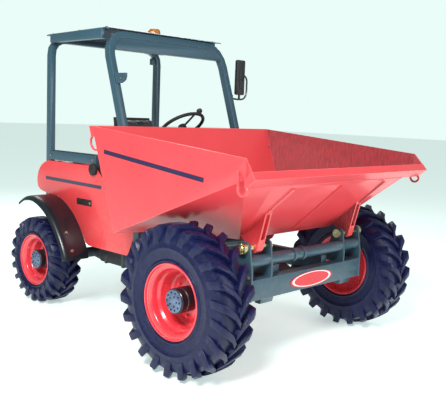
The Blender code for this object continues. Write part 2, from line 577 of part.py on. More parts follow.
def main():
    for obj in list(bpy.data.objects):
        bpy.data.objects.remove(obj)
    red = paint("coral_red_paint", (0.80, 0.085, 0.075), 0.0, 0.35)
    teal = paint("slate_teal_paint", (0.045, 0.115, 0.130), 0.0, 0.45)
    rubber = paint("tyre_rubber", (0.015, 0.016, 0.022), 0.0, 0.85)
    hub_paint = paint("hub_grey", (0.16, 0.20, 0.26), 0.4, 0.5)
    black = paint("black_plastic", (0.02, 0.02, 0.025), 0.0, 0.6)
    steel = paint("bare_steel", (0.55, 0.54, 0.50), 1.0, 0.35)
    chrome = paint("chrome", (0.80, 0.80, 0.82), 1.0, 0.12)
    iron = paint("grey_iron", (0.12, 0.13, 0.14), 0.5, 0.6)
    amber = paint("amber_lens", (0.85, 0.35, 0.03), 0.0, 0.2)

    chassis(teal)
    front_frame(teal)
    badge(red)
    front_axle(iron)
    rear_axle(iron)
    tie_rod(steel)
    for tag, side in (("right", -1), ("left", 1)):
        tip_pin(side, "tip_pin_" + tag, steel)
        knuckle(side, "knuckle_" + tag, iron)
        wheel("front_" + tag, side, True, {"tyre": rubber, "rim": red, "hub": hub_paint})
        wheel("rear_" + tag, side, False, {"tyre": rubber, "rim": red, "hub": hub_paint})
        mudguard(side, "mudguard_" + tag, black)
        side_panel(side, "side_panel_" + tag, red)
    skip(red)
    ram(teal, chrome)
    engine_cover(red)
    floor_plate(black)
    console(black)
    steering(black, black)
    seat(black)
    front_hoop(teal)
    rear_hoop(teal)
    roof(teal)
    beacon(black, amber)
    mirror(black)
    drive_line(iron, black)
    controls(black)


main()
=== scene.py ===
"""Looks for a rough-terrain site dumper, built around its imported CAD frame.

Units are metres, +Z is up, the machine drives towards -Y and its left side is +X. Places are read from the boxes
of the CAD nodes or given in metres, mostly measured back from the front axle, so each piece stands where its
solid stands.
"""

import logging
import math
from collections.abc import Callable
from dataclasses import dataclass, field
from enum import Enum

import bmesh
import bpy
from mathutils import Matrix, Vector


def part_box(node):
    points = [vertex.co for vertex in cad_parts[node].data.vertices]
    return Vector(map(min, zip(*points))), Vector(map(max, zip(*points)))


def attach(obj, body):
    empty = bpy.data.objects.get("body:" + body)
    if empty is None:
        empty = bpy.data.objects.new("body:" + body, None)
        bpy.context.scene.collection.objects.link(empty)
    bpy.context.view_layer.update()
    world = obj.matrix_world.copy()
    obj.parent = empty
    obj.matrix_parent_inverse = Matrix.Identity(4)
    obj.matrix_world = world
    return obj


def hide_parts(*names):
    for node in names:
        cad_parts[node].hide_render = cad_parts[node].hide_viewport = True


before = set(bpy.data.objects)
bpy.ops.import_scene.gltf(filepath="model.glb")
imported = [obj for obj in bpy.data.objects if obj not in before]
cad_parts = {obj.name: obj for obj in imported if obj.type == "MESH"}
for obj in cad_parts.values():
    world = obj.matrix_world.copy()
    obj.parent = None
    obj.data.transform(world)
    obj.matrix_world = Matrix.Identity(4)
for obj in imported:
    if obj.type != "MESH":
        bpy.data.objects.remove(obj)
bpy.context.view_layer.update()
LOG = logging.getLogger("site_dumper")
Point = tuple[float, float, float]
Tree = bpy.types.NodeTree
Shader = bpy.types.Node
Socket = bpy.types.NodeSocket
Outline = list[tuple[float, float]]
FRONT_AXLE = sum(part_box("tyre_front_left"), Vector()) / 2
REAR_AXLE = sum(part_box("tyre_rear_left"), Vector()) / 2


class Body(Enum):
    """The moving bodies of the CAD frame that carry pieces."""

    CHASSIS = "chassis"
    SKIP = "skip"
    STEERING_WHEEL = "steering_wheel"
    FRONT_LEFT = "wheel_front_left"
    FRONT_RIGHT = "wheel_front_right"
    REAR_LEFT = "wheel_rear_left"
    REAR_RIGHT = "wheel_rear_right"


def aft(distance: float) -> float:
    """Returns the Y of a place this far behind the front axle."""
    return FRONT_AXLE.y + distance


# ---------------------------------------------------------------- finishes
def linear(hex_code: str) -> tuple[float, float, float, float]:
    """Turns an sRGB hex colour to the linear colour that a shader socket takes.

    Args:
        hex_code: Colour such as "#E8443C".
    Returns:
        Linear red, green, blue and full alpha.
    """
    parts = [int(hex_code[i:i + 2], 16) / 255 for i in (1, 3, 5)]
    return (*(p / 12.92 if p <= 0.04045 else ((p + 0.055) / 1.055) ** 2.4 for p in parts), 1.0)


def put(tree: Tree, kind: str, inputs: dict | None = None, **settings) -> Shader:
    """Adds a shader node with its settings, values and links.

    Args:
        tree: Node tree that takes the node.
        kind: Blender's type name of the node, without its ShaderNode in front.
        inputs: Value or output socket for each input, by its name or number.
        **settings: Properties of the node itself.
    Returns:
        The new node.
    """
    node = tree.nodes.new(f"ShaderNode{kind}")
    for name, value in settings.items():
        setattr(node, name, value)
    for name, value in (inputs or {}).items():
        if isinstance(value, Socket):
            tree.links.new(value, node.inputs[name])
        else:
            node.inputs[name].default_value = value
    return node


@dataclass(frozen=True)
class Finish:
    """A surface finish and the material slot that it belongs to."""

    name: str
    slot: str

    def material(self) -> bpy.types.Material:
        """Returns the material, and draws its nodes the first time it is asked for."""
        made = bpy.data.materials.get(self.name)
        if made is None:
            made = bpy.data.materials.new(self.name)
            made.use_nodes = True
            tree = made.node_tree
            self.draw(tree, tree.nodes["Principled BSDF"], put(tree, "TexCoord").outputs["Object"])
        return made

    def draw(self, tree: Tree, shader: Shader, place: Socket) -> None:
        """Draws the finish; each kind of finish has its own way."""
        raise NotImplementedError


@dataclass(frozen=True)
class Stripe:
    """A straight painted stripe on the machine's flat sides, from one (Y, Z) point to another."""

    start: tuple[float, float]
    end: tuple[float, float]
    width: float

    def mask(self, tree: Tree, place: Socket, outside: Socket) -> Socket:
        """Draws where the stripe is.

        Args:
            tree: Node tree of the paint.
            place: Object coordinates.
            outside: 1 on faces that look away from the machine's middle plane, otherwise 0.
        Returns:
            1 on the stripe and 0 elsewhere.
        """
        a, b = Vector((0.0, *self.start)), Vector((0.0, *self.end))
        along = (b - a).normalized()
        across = along.cross(Vector((1, 0, 0)))
        offset = put(tree, "VectorMath", {0: place, 1: tuple((a + b) / 2)}, operation="SUBTRACT")
        result = outside
        for direction, half in ((along, (b - a).length / 2), (across, self.width / 2)):
            reach = put(tree, "VectorMath", {0: offset.outputs[0], 1: tuple(direction)},
                operation="DOT_PRODUCT")
            within = put(tree, "Math", {0: reach.outputs["Value"], 1: 0.0, 2: half},
                operation="COMPARE")
            result = put(tree, "Math", {0: result, 1: within.outputs[0]},
                operation="MULTIPLY").outputs[0]
        return result


@dataclass(frozen=True)
class Paint(Finish):
    """Two-pack enamel sprayed on steel: clear gloss over faint orange peel, with a painted highlight along its
    edges.
    """

    colour: str
    # Colour of the painted highlight along the edges.
    deep: str
    edge: str
    rough: float = 0.34
    coat: float = 0.30
    edge_highlight: float = 0.55
    dust: str = "#B7A48F"
    dusty: float = 0.22
    stripes: tuple[Stripe, ...] = ()
    stripe_colour: str = "#241C44"
    bowl: Point | None = None

    def draw(self, tree: Tree, shader: Shader, place: Socket) -> None:
        """Draws mottled colour, stripes, painted shade inside the bowl, painted edge highlights, road dust and
        orange peel.
        """
        normal = put(tree, "NewGeometry").outputs["Normal"]
        # Hand-sprayed enamel drifts slightly in tone over about 300 mm.
        drift = put(tree, "TexNoise", {"Vector": place, "Scale": 3.3, "Detail": 3.0})
        tone = put(tree, "Mix", {0: drift.outputs[0], 6: linear(self.colour), 7: linear(self.deep)},
            data_type="RGBA").outputs[2]
        dull = 0.0
        if self.bowl:
            # Painted shade darkens the inner skin, whose faces look back at the middle of the bowl, most on the
            # side walls; stretched scuff marks break it up.
            inwards = put(tree, "VectorMath", {0: self.bowl, 1: place}, operation="SUBTRACT")
            facing = put(tree, "VectorMath", {0: inwards.outputs[0], 1: normal},
                operation="DOT_PRODUCT")
            inner = put(tree, "Math", {0: facing.outputs["Value"], 1: 0.0},
                operation="GREATER_THAN")
            across = put(tree, "SeparateXYZ", {0: normal}).outputs["X"]
            sideways = put(tree, "Math", {0: across}, operation="ABSOLUTE")
            cheek = put(tree, "MapRange", {0: sideways.outputs[0], 1: 0.25, 2: 0.55, 3: 0.12,
                4: 1.0})
            drag = put(tree, "Mapping", {"Vector": place, "Scale": (4.0, 34.0, 9.0)})
            scuff = put(tree, "TexNoise", {"Vector": drag.outputs[0], "Scale": 1.6, "Detail": 7.0,
                "Roughness": 0.68})
            spread = put(tree, "MapRange", {0: scuff.outputs[0], 1: 0.30, 2: 0.66, 3: 0.50,
                4: 0.95})
            shaded_side = put(tree, "Math", {0: inner.outputs[0], 1: cheek.outputs[0]},
                operation="MULTIPLY")
            scuff_and_shade = put(tree, "Math", {0: shaded_side.outputs[0], 1: spread.outputs[0]},
                operation="MULTIPLY")
            # The brown is painted shade mixed with scuffing.
            tone = put(tree, "Mix", {0: scuff_and_shade.outputs[0], 6: tone, 7: linear("#7E363D")},
                data_type="RGBA").outputs[2]
            dull = scuff_and_shade.outputs[0]
        if self.stripes:
            split = put(tree, "SeparateXYZ", {0: place}).outputs["X"]
            lean = put(tree, "SeparateXYZ", {0: normal}).outputs["X"]
            away = put(tree, "Math", {0: split, 1: lean}, operation="MULTIPLY")
            outside = put(tree, "Math", {0: away.outputs[0], 1: 0.3},
                operation="GREATER_THAN").outputs[0]
            for stripe in self.stripes:
                tone = put(tree, "Mix", {0: stripe.mask(tree, place, outside), 6: tone,
                    7: linear(self.stripe_colour)}, data_type="RGBA").outputs[2]
        # Edges within 4 mm are mixed towards the paler edge colour: a painted highlight where they catch the
        # light.
        rounded = put(tree, "Bevel", {"Radius": 0.004}, samples=4)
        agree = put(tree, "VectorMath", {0: rounded.outputs[0], 1: normal}, operation="DOT_PRODUCT")
        edge = put(tree, "MapRange", {0: agree.outputs["Value"], 1: 0.985, 2: 0.80, 3: 0.0,
            4: self.edge_highlight})
        tone = put(tree, "Mix", {0: edge.outputs[0], 6: tone, 7: linear(self.edge)},
            data_type="RGBA").outputs[2]
        height = put(tree, "SeparateXYZ", {0: place}).outputs["Z"]
        low = put(tree, "MapRange", {0: height, 1: 1.0, 2: 0.35, 3: 0.08, 4: 1.0})
        grit = put(tree, "TexNoise", {"Vector": place, "Scale": 26.0, "Detail": 6.0,
            "Roughness": 0.7})
        speck = put(tree, "MapRange", {0: grit.outputs[0], 1: 0.46, 2: 0.66, 3: 0.0, 4: self.dusty})
        film = put(tree, "Math", {0: low.outputs[0], 1: speck.outputs[0]}, operation="MULTIPLY")
        tone = put(tree, "Mix", {0: film.outputs[0], 6: tone, 7: linear(self.dust)},
            data_type="RGBA").outputs[2]
        tree.links.new(tone, shader.inputs["Base Color"])
        dirt = put(tree, "Math", {0: film.outputs[0], 1: dull}, operation="ADD")
        rough = put(tree, "MapRange", {0: dirt.outputs[0], 1: 0.0, 2: 1.0, 3: self.rough, 4: 0.78})
        tree.links.new(rough.outputs[0], shader.inputs["Roughness"])
        # Orange peel has a real pitch of about 2 mm; it is drawn at 6 mm so that it shows.
        peel = put(tree, "TexNoise", {"Vector": place, "Scale": 160.0, "Detail": 2.0})
        bump = put(tree, "Bump", {"Height": peel.outputs[0], "Strength": 0.10, "Distance": 0.0015})
        tree.links.new(bump.outputs[0], shader.inputs["Normal"])
        shader.inputs["Coat Weight"].default_value = self.coat
        shader.inputs["Coat Roughness"].default_value = 0.12


@dataclass(frozen=True)
class Rubber(Finish):
    """Carbon-black tyre rubber: satin, faintly blue, with paler dust ground into its high spots."""

    colour: str = "#0C0F38"
    bloom: str = "#212A5C"
    rough: float = 0.38
    grain_mm: float = 9.0

    def draw(self, tree: Tree, shader: Shader, place: Socket) -> None:
        """Draws the rubber's bloom, scuffs and fine pitting."""
        bloom = put(tree, "TexNoise", {"Vector": place, "Scale": 1000 / (self.grain_mm * 4),
            "Detail": 8.0, "Roughness": 0.72})
        spread = put(tree, "MapRange", {0: bloom.outputs[0], 1: 0.45, 2: 0.75, 3: 0.0, 4: 0.75})
        tone = put(tree, "Mix", {0: spread.outputs[0], 6: linear(self.colour),
            7: linear(self.bloom)}, data_type="RGBA")
        tree.links.new(tone.outputs[2], shader.inputs["Base Color"])
        pits = put(tree, "TexNoise", {"Vector": place, "Scale": 1000 / self.grain_mm,
            "Detail": 5.0})
        bump = put(tree, "Bump", {"Height": pits.outputs[0], "Strength": 0.45, "Distance": 0.003})
        tree.links.new(bump.outputs[0], shader.inputs["Normal"])
        rough = put(tree, "MapRange", {0: pits.outputs[0], 1: 0.3, 2: 0.7, 3: self.rough - 0.14,
            4: self.rough + 0.14})
        tree.links.new(rough.outputs[0], shader.inputs["Roughness"])
        shader.inputs["Specular IOR Level"].default_value = 0.34


@dataclass(frozen=True)
class Metal(Finish):
    """Bare or plated steel, ground or drawn, with a soft streak along one axis and a little grime."""

    colour: str
    grime: str = "#4A4036"
    rough: float = 0.30
    streak_mm: float = 3.0
    soiled: float = 0.4

    def draw(self, tree: Tree, shader: Shader, place: Socket) -> None:
        """Draws streaks, grime in patches of 40 mm and a metallic base."""
        patch = put(tree, "TexNoise", {"Vector": place, "Scale": 25.0, "Detail": 6.0})
        spread = put(tree, "MapRange", {0: patch.outputs[0], 1: 0.48, 2: 0.72, 3: 0.0,
            4: self.soiled})
        tone = put(tree, "Mix", {0: spread.outputs[0], 6: linear(self.colour),
            7: linear(self.grime)}, data_type="RGBA")
        tree.links.new(tone.outputs[2], shader.inputs["Base Color"])
        drawn = put(tree, "Mapping", {"Vector": place, "Scale": (1.0, 0.05, 0.05)})
        streak = put(tree, "TexNoise", {"Vector": drawn.outputs[0], "Scale": 1000 / self.streak_mm,
            "Detail": 2.0})
        rough = put(tree, "MapRange", {0: streak.outputs[0], 1: 0.3, 2: 0.7, 3: self.rough * 0.8,
            4: self.rough * 1.3})
        tree.links.new(rough.outputs[0], shader.inputs["Roughness"])
        shader.inputs["Metallic"].default_value = 1.0


@dataclass(frozen=True)
class Casting(Finish):
    """Sand-cast iron under a thin grey coat: dull, grainy at about 3 mm, oily in patches."""

    colour: str
    oil: str = "#1B1A1E"
    rough: float = 0.62

    def draw(self, tree: Tree, shader: Shader, place: Socket) -> None:
        """Draws oily patches and the sand grain of the mould."""
        oil = put(tree, "TexNoise", {"Vector": place, "Scale": 14.0, "Detail": 7.0,
            "Roughness": 0.65})
        spread = put(tree, "MapRange", {0: oil.outputs[0], 1: 0.45, 2: 0.70, 3: 0.0, 4: 0.8})
        tone = put(tree, "Mix", {0: spread.outputs[0], 6: linear(self.colour), 7: linear(self.oil)},
            data_type="RGBA")
        tree.links.new(tone.outputs[2], shader.inputs["Base Color"])
        rough = put(tree, "MapRange", {0: spread.outputs[0], 1: 0.0, 2: 0.8, 3: self.rough,
            4: 0.36})
        tree.links.new(rough.outputs[0], shader.inputs["Roughness"])
        sand = put(tree, "TexNoise", {"Vector": place, "Scale": 330.0, "Detail": 4.0})
        bump = put(tree, "Bump", {"Height": sand.outputs[0], "Strength": 0.5, "Distance": 0.002})
        tree.links.new(bump.outputs[0], shader.inputs["Normal"])
        shader.inputs["Metallic"].default_value = 0.25


@dataclass(frozen=True)
class Moulded(Finish):
    """Injection-moulded ABS or rotomoulded polythene with a spark-eroded grain, dusty on its top faces."""

    colour: str
    rough: float = 0.55
    grain_mm: float = 2.5
    depth: float = 0.25
    dusty: float = 0.25

    def draw(self, tree: Tree, shader: Shader, place: Socket) -> None:
        """Draws the mould grain and the dust that settles on it."""
        up = put(tree, "SeparateXYZ", {0: put(tree, "NewGeometry").outputs["Normal"]})
        level = put(tree, "MapRange", {0: up.outputs["Z"], 1: 0.2, 2: 1.0, 3: 0.25, 4: 1.0})
        cloud = put(tree, "TexNoise", {"Vector": place, "Scale": 18.0, "Detail": 6.0})
        settle = put(tree, "MapRange", {0: cloud.outputs[0], 1: 0.42, 2: 0.70, 3: 0.0,
            4: self.dusty})
        dust = put(tree, "Math", {0: level.outputs[0], 1: settle.outputs[0]}, operation="MULTIPLY")
        tone = put(tree, "Mix", {0: dust.outputs[0], 6: linear(self.colour), 7: linear("#8C8377")},
            data_type="RGBA")
        tree.links.new(tone.outputs[2], shader.inputs["Base Color"])
        rough = put(tree, "MapRange", {0: dust.outputs[0], 1: 0.0, 2: 0.3, 3: self.rough, 4: 0.85})
        tree.links.new(rough.outputs[0], shader.inputs["Roughness"])
        grain = put(tree, "TexVoronoi", {"Vector": place, "Scale": 1000 / self.grain_mm})
        bump = put(tree, "Bump", {"Height": grain.outputs[0], "Strength": self.depth,
            "Distance": 0.0008})
        tree.links.new(bump.outputs[0], shader.inputs["Normal"])


@dataclass(frozen=True)
class Vinyl(Finish):
    """Leathercloth seat vinyl: pebbled at about 2 mm, softly shiny where it has been sat on."""

    colour: str = "#17171D"

    def draw(self, tree: Tree, shader: Shader, place: Socket) -> None:
        """Draws the pebbles, the creases between them and the polish of use."""
        use = put(tree, "TexNoise", {"Vector": place, "Scale": 9.0, "Detail": 4.0})
        tone = put(tree, "Mix", {0: use.outputs[0], 6: linear(self.colour), 7: linear("#2B2B34")},
            data_type="RGBA")
        tree.links.new(tone.outputs[2], shader.inputs["Base Color"])
        rough = put(tree, "MapRange", {0: use.outputs[0], 1: 0.35, 2: 0.65, 3: 0.36, 4: 0.58})
        tree.links.new(rough.outputs[0], shader.inputs["Roughness"])
        # The pebbles are drawn at 3 mm, a little coarser than real ones, so that they show.
        pebble = put(tree, "TexVoronoi", {"Vector": place, "Scale": 330.0}, feature="SMOOTH_F1")
        bump = put(tree, "Bump", {"Height": pebble.outputs[0], "Strength": 0.35, "Distance": 0.001})
        tree.links.new(bump.outputs[0], shader.inputs["Normal"])
        shader.inputs["Sheen Weight"].default_value = 0.15


@dataclass(frozen=True)
class Lens(Finish):
    """Tinted polycarbonate lens: clear gloss with a coloured body and faint moulding waves."""

    colour: str
    clear: float = 0.55

    def draw(self, tree: Tree, shader: Shader, place: Socket) -> None:
        """Draws the tint's drift and the waves."""
        wave = put(tree, "TexNoise", {"Vector": place, "Scale": 60.0, "Detail": 1.0})
        tone = put(tree, "Mix", {0: wave.outputs[0], 6: linear(self.colour), 7: linear("#FFE9B0")},
            data_type="RGBA", clamp_factor=True)
        depth = put(tree, "Mix", {0: 0.25, 6: linear(self.colour), 7: tone.outputs[2]},
            data_type="RGBA")
        tree.links.new(depth.outputs[2], shader.inputs["Base Color"])
        bump = put(tree, "Bump", {"Height": wave.outputs[0], "Strength": 0.08, "Distance": 0.001})
        tree.links.new(bump.outputs[0], shader.inputs["Normal"])
        shader.inputs["Roughness"].default_value = 0.10
        shader.inputs["IOR"].default_value = 1.58
        shader.inputs["Transmission Weight"].default_value = self.clear


@dataclass(frozen=True)
class BadgeEnamel(Finish):
    """Vitreous enamel badge: a plain red oval inside a white line, glassy and slightly pooled."""

    centre: Point
    half_width: float
    half_height: float

    def draw(self, tree: Tree, shader: Shader, place: Socket) -> None:
        """Draws the oval's white line by its distance from the centre."""
        offset = put(tree, "VectorMath", {0: place, 1: self.centre}, operation="SUBTRACT")
        unit = put(tree, "VectorMath", {0: offset.outputs[0], 1: (1 / self.half_width, 0.0,
            1 / self.half_height)}, operation="MULTIPLY")
        reach = put(tree, "VectorMath", {0: unit.outputs[0]}, operation="LENGTH")
        line = put(tree, "Math", {0: reach.outputs["Value"], 1: 0.875, 2: 0.045},
            operation="COMPARE")
        pool = put(tree, "TexNoise", {"Vector": place, "Scale": 90.0, "Detail": 2.0})
        red = put(tree, "Mix", {0: pool.outputs[0], 6: linear("#E8323C"), 7: linear("#C81E2E")},
            data_type="RGBA")
        tone = put(tree, "Mix", {0: line.outputs[0], 6: red.outputs[2], 7: linear("#F4EEEA")},
            data_type="RGBA")
        tree.links.new(tone.outputs[2], shader.inputs["Base Color"])
        bump = put(tree, "Bump", {"Height": pool.outputs[0], "Strength": 0.15, "Distance": 0.001})
        tree.links.new(bump.outputs[0], shader.inputs["Normal"])
        shader.inputs["Roughness"].default_value = 0.12


class Coat:
    """Every finish on the machine, named for what the real one is."""

    # The third colour of each enamel is the painted highlight along its edges.
    BOWL = (0.0, aft(0.20), 1.20)
    # Coral red enamel with a navy stripe; painted shade, broken by scuff marks, darkens it brown inside.
    SKIP = Paint("coral_enamel_on_skip", "red", "#F24B51", "#E83F47", "#FFB9B2", bowl=BOWL,
        stripes=(Stripe((aft(0.822), 1.345), (aft(-0.165), 1.240), 0.030),))
    # The same enamel on the body's pressed panels, clean and glossy.
    PANEL = Paint("coral_enamel_on_panels", "red", "#F0464B", "#E53C43", "#FFB9B2",
        stripes=(Stripe((aft(2.071), 1.043), (aft(1.288), 1.034), 0.028),))
    RIM = Paint("coral_enamel_on_rims", "red", "#EE3E4C", "#E2323F", "#FFC4BE", edge_highlight=0.3,
        dusty=0.05, rough=0.26, coat=0.6)
    # Slate-teal satin enamel on the welded frames.
    TEAL = Paint("slate_teal_enamel", "teal", "#365565", "#2D4A59", "#97B4BF", rough=0.36,
        coat=0.15, dusty=0.08)
    # Black powder coat on folded guards, slightly blue in the light.
    POWDER = Paint("black_powder_coat", "black", "#10161C", "#161D25", "#5A6C78", rough=0.34,
        coat=0.25, edge_highlight=0.35, dusty=0.0)
    HUB = Casting("hub_grey_casting", "iron", "#6C80A0", oil="#2A3146", rough=0.45)
    IRON = Casting("grey_sand_casting", "iron", "#3C434B")
    RUBBER = Rubber("carbon_black_tyre_rubber", "tyre")
    MAT = Rubber("black_floor_rubber", "black", colour="#15161A", bloom="#34363B", rough=0.7,
        grain_mm=5.0)
    ZINC = Metal("zinc_plated_steel", "steel", "#B9B4A4", rough=0.34)
    YELLOW_ZINC = Metal("yellow_passivated_zinc", "steel", "#D9CFA0", rough=0.30, soiled=0.55)
    CHROME = Metal("hard_chrome_rod", "chrome", "#D7DADF", rough=0.09, soiled=0.06)
    TREAD = Metal("galvanised_tread_plate", "black", "#6E7276", rough=0.46, soiled=0.6)
    MIRROR = Metal("silvered_mirror_glass", "chrome", "#E4EAEC", rough=0.03, soiled=0.0)
    ABS = Moulded("black_moulded_abs", "black", "#15161A")
    SOFT = Moulded("black_soft_grip", "black", "#101116", rough=0.62, grain_mm=3.5, dusty=0.1)
    # Dark navy felted sheet under the roof sheet: painted shade for the roof's underside.
    ROOF_SHADE_SHEET = Moulded("navy_painted_shade_sheet", "black", "#161B33", rough=0.8, grain_mm=6.0, dusty=0.0)
    TANK = Moulded("black_rotomoulded_tank", "black", "#1C1D22", rough=0.6, grain_mm=5.0)
    DIAL = Moulded("white_dial_face", "black", "#D8DAD6", rough=0.4, grain_mm=1.5, dusty=0.05)
    VINYL = Vinyl("black_seat_vinyl", "black")
    AMBER = Lens("amber_polycarbonate", "amber", "#F08A12")
    RED_LENS = Lens("red_polycarbonate", "amber", "#C8141C", clear=0.3)
    GLASS = Lens("clear_gauge_glass", "chrome", "#E8EEF0", clear=0.9)
    BADGE = BadgeEnamel("blank_oval_enamel_badge", "red",
        tuple(sum(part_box("badge_plate"), Vector()) / 2),
        (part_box("badge_plate")[1].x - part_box("badge_plate")[0].x) / 2,
        (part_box("badge_plate")[1].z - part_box("badge_plate")[0].z) / 2)


# ---------------------------------------------------------------- working a mesh
class Workpiece:
    """A mesh put together from simple worked shapes, before it becomes a piece."""

    def __init__(self) -> None:
        """Starts an empty workpiece."""
        self.bm = bmesh.new()

    def take(self, shape: bmesh.types.BMesh, place: Matrix | None = None) -> None:
        """Adds a shape to the workpiece and frees it.

        Args:
            shape: Shape to add.
            place: Where it goes; a mirrored place keeps the faces outwards.
        """
        if place is not None:
            bmesh.ops.transform(shape, matrix=place, verts=shape.verts)
            if place.determinant() < 0:
                bmesh.ops.reverse_faces(shape, faces=shape.faces)
        mesh = bpy.data.meshes.new("shape")
        shape.to_mesh(mesh)
        self.bm.from_mesh(mesh)
        bpy.data.meshes.remove(mesh)
        shape.free()

    def block(self, low: Point, high: Point, bevel: float = 0.0, segments: int = 2,
            place: Matrix | None = None) -> None:
        """Adds a block between two corners, its edges rounded by a bevel."""
        shape = bmesh.new()
        bmesh.ops.create_cube(shape, size=1.0)
        a, b = Vector(low), Vector(high)
        fit = Matrix.Translation((a + b) / 2) @ Matrix.Diagonal((*(b - a), 1.0))
        bmesh.ops.transform(shape, matrix=fit, verts=shape.verts)
        if bevel:
            bmesh.ops.bevel(shape, geom=shape.edges[:], offset=bevel, segments=segments,
                affect="EDGES", profile=0.5, material=-1)
        self.take(shape, place)

    def bar(self, start: Point, end: Point, radius: float, tip: float | None = None,
            sides: int = 24, bevel: float = 0.0) -> None:
        """Adds a round bar, or a taper where tip is given, between two points."""
        a, b = Vector(start), Vector(end)
        shape = bmesh.new()
        bmesh.ops.create_cone(shape, cap_ends=True, segments=sides, radius1=radius,
            radius2=radius if tip is None else tip, depth=(b - a).length)
        if bevel:
            ends = [e for e in shape.edges if abs(e.verts[0].co.z - e.verts[1].co.z) < 1e-6]
            bmesh.ops.bevel(shape, geom=ends, offset=bevel, segments=2, affect="EDGES", profile=0.5,
                material=-1)
        turn = (b - a).to_track_quat("Z", "Y").to_matrix().to_4x4()
        self.take(shape, Matrix.Translation((a + b) / 2) @ turn)

    def lathe(self, outline: Outline, place: Matrix, steps: int = 64, ring: bool = False) -> None:
        """Adds a turned shape.

        Args:
            outline: Points as (radius, distance along the axis).
            place: Turns the local Z axis, about which the shape is turned, to where it goes.
            steps: Number of steps in a full turn.
            ring: Whether the outline closes on itself instead of ending on the axis.
        """
        shape = bmesh.new()
        verts = [shape.verts.new((r, 0.0, z)) for r, z in outline]
        edges = [shape.edges.new(pair) for pair in zip(verts, verts[1:])]
        if ring:
            edges.append(shape.edges.new((verts[-1], verts[0])))
        bmesh.ops.spin(shape, geom=verts + edges, cent=(0, 0, 0), axis=(0, 0, 1), dvec=(0, 0, 0),
            angle=math.tau, steps=steps, use_merge=True)
        bmesh.ops.remove_doubles(shape, verts=shape.verts, dist=1e-6)
        bmesh.ops.recalc_face_normals(shape, faces=shape.faces)
        self.take(shape, place)

    def plate(self, outline: Outline, low: float, high: float, bevel: float = 0.0) -> None:
        """Adds a side profile, given as (Y, Z) points, made thick from one X to another."""
        shape = bmesh.new()
        face = shape.faces.new([shape.verts.new((low, y, z)) for y, z in outline])
        grown = bmesh.ops.extrude_face_region(shape, geom=[face])["geom"]
        bmesh.ops.translate(shape, verts=[g for g in grown if isinstance(g, bmesh.types.BMVert)],
            vec=(high - low, 0, 0))
        bmesh.ops.recalc_face_normals(shape, faces=shape.faces)
        if bevel:
            bmesh.ops.bevel(shape, geom=shape.edges[:], offset=bevel, segments=2, affect="EDGES",
                profile=0.5, material=-1)
        self.take(shape)

    def bolt(self, at: Point, axis: Point, across: float = 0.019) -> None:
        """Adds a hexagon bolt head on its washer, standing on a point along an axis."""
        a, n = Vector(at), Vector(axis).normalized()
        self.bar(a - n * across * 0.1, a + n * across * 0.14, across * 0.74, sides=16)
        self.bar(a + n * across * 0.14, a + n * across * 0.68, across * 0.577, sides=6,
            bevel=across * 0.05)

    def tube(self, points: list[Point], radius: float, smooth: bool = True,
            closed: bool = False) -> None:
        """Adds a bent round tube through points."""
        curve = bpy.data.curves.new("bend", "CURVE")
        curve.dimensions = "3D"
        curve.bevel_depth = radius
        curve.bevel_resolution = 3
        curve.use_fill_caps = True
        curve.resolution_u = 6
        spline = curve.splines.new("BEZIER" if smooth else "POLY")
        knots = spline.bezier_points if smooth else spline.points
        knots.add(len(points) - 1)
        for knot, point in zip(knots, points):
            knot.co = point if smooth else (*point, 1.0)
            if smooth:
                knot.handle_left_type = knot.handle_right_type = "AUTO"
        spline.use_cyclic_u = closed
        carrier = bpy.data.objects.new("bend", curve)
        mesh = bpy.data.meshes.new_from_object(carrier)
        shape = bmesh.new()
        shape.from_mesh(mesh)
        bmesh.ops.remove_doubles(shape, verts=shape.verts, dist=1e-6)
        bmesh.ops.recalc_face_normals(shape, faces=shape.faces)
        self.take(shape)
        bpy.data.objects.remove(carrier)
        bpy.data.curves.remove(curve)
        bpy.data.meshes.remove(mesh)

    def copy_of(self, node: str, round_to: float) -> None:
        """Takes a CAD node's shape, cleans its flat faces and rounds its sharp edges.

        Args:
            node: Name of the CAD node.
            round_to: Radius of the rounded edges.
        """
        self.bm.from_mesh(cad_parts[node].data)
        bmesh.ops.remove_doubles(self.bm, verts=self.bm.verts, dist=1e-5)
        bmesh.ops.dissolve_limit(self.bm, angle_limit=math.radians(0.6), verts=self.bm.verts,
            edges=self.bm.edges)
        sharp = [e for e in self.bm.edges if e.is_manifold
            and e.calc_face_angle() > math.radians(28)]
        bmesh.ops.bevel(self.bm, geom=sharp, offset=round_to, segments=2, affect="EDGES",
            profile=0.5, material=-1, clamp_overlap=True)

    def piece(self, name: str, finish: Finish, body: Body = Body.CHASSIS, replaces: tuple[str,
            ...] = (), sharp: float = 35.0) -> bpy.types.Object:
        """Turns the workpiece into a finished piece that rides on a body.

        Args:
            name: The piece's name.
            finish: What it is made of.
            body: The body that it moves with; most ride on the chassis.
            replaces: CAD nodes that it stands for.
            sharp: Angle in degrees above which an edge stays sharp.
        Returns:
            The piece.
        """
        mesh = bpy.data.meshes.new(name)
        self.bm.to_mesh(mesh)
        self.bm.free()
        mesh.shade_smooth()
        mesh.set_sharp_from_angle(angle=math.radians(sharp))
        mesh.materials.clear()
        mesh.materials.append(finish.material())
        made = bpy.data.objects.new(name, mesh)
        bpy.context.scene.collection.objects.link(made)
        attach(made, body.value)
        if replaces:
            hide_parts(*replaces)
        LOG.info("%s on %s: %d faces", name, body.value, len(mesh.polygons))
        return made


def dress(finish: Finish, *nodes: str) -> None:
    """Gives CAD nodes whose shape is right a finish of their own."""
    for node in nodes:
        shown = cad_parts[node]
        shown.data.materials.clear()
        shown.data.materials.append(finish.material())
        LOG.info("%s keeps its shape, in %s", node, finish.name)


def facing(at: Point | Vector, axis: Point | Vector) -> Matrix:
    """Returns the place whose local Z points along an axis from a point."""
    return Matrix.Translation(Vector(at)) @ Vector(axis).to_track_quat("Z",
        "Y").to_matrix().to_4x4()


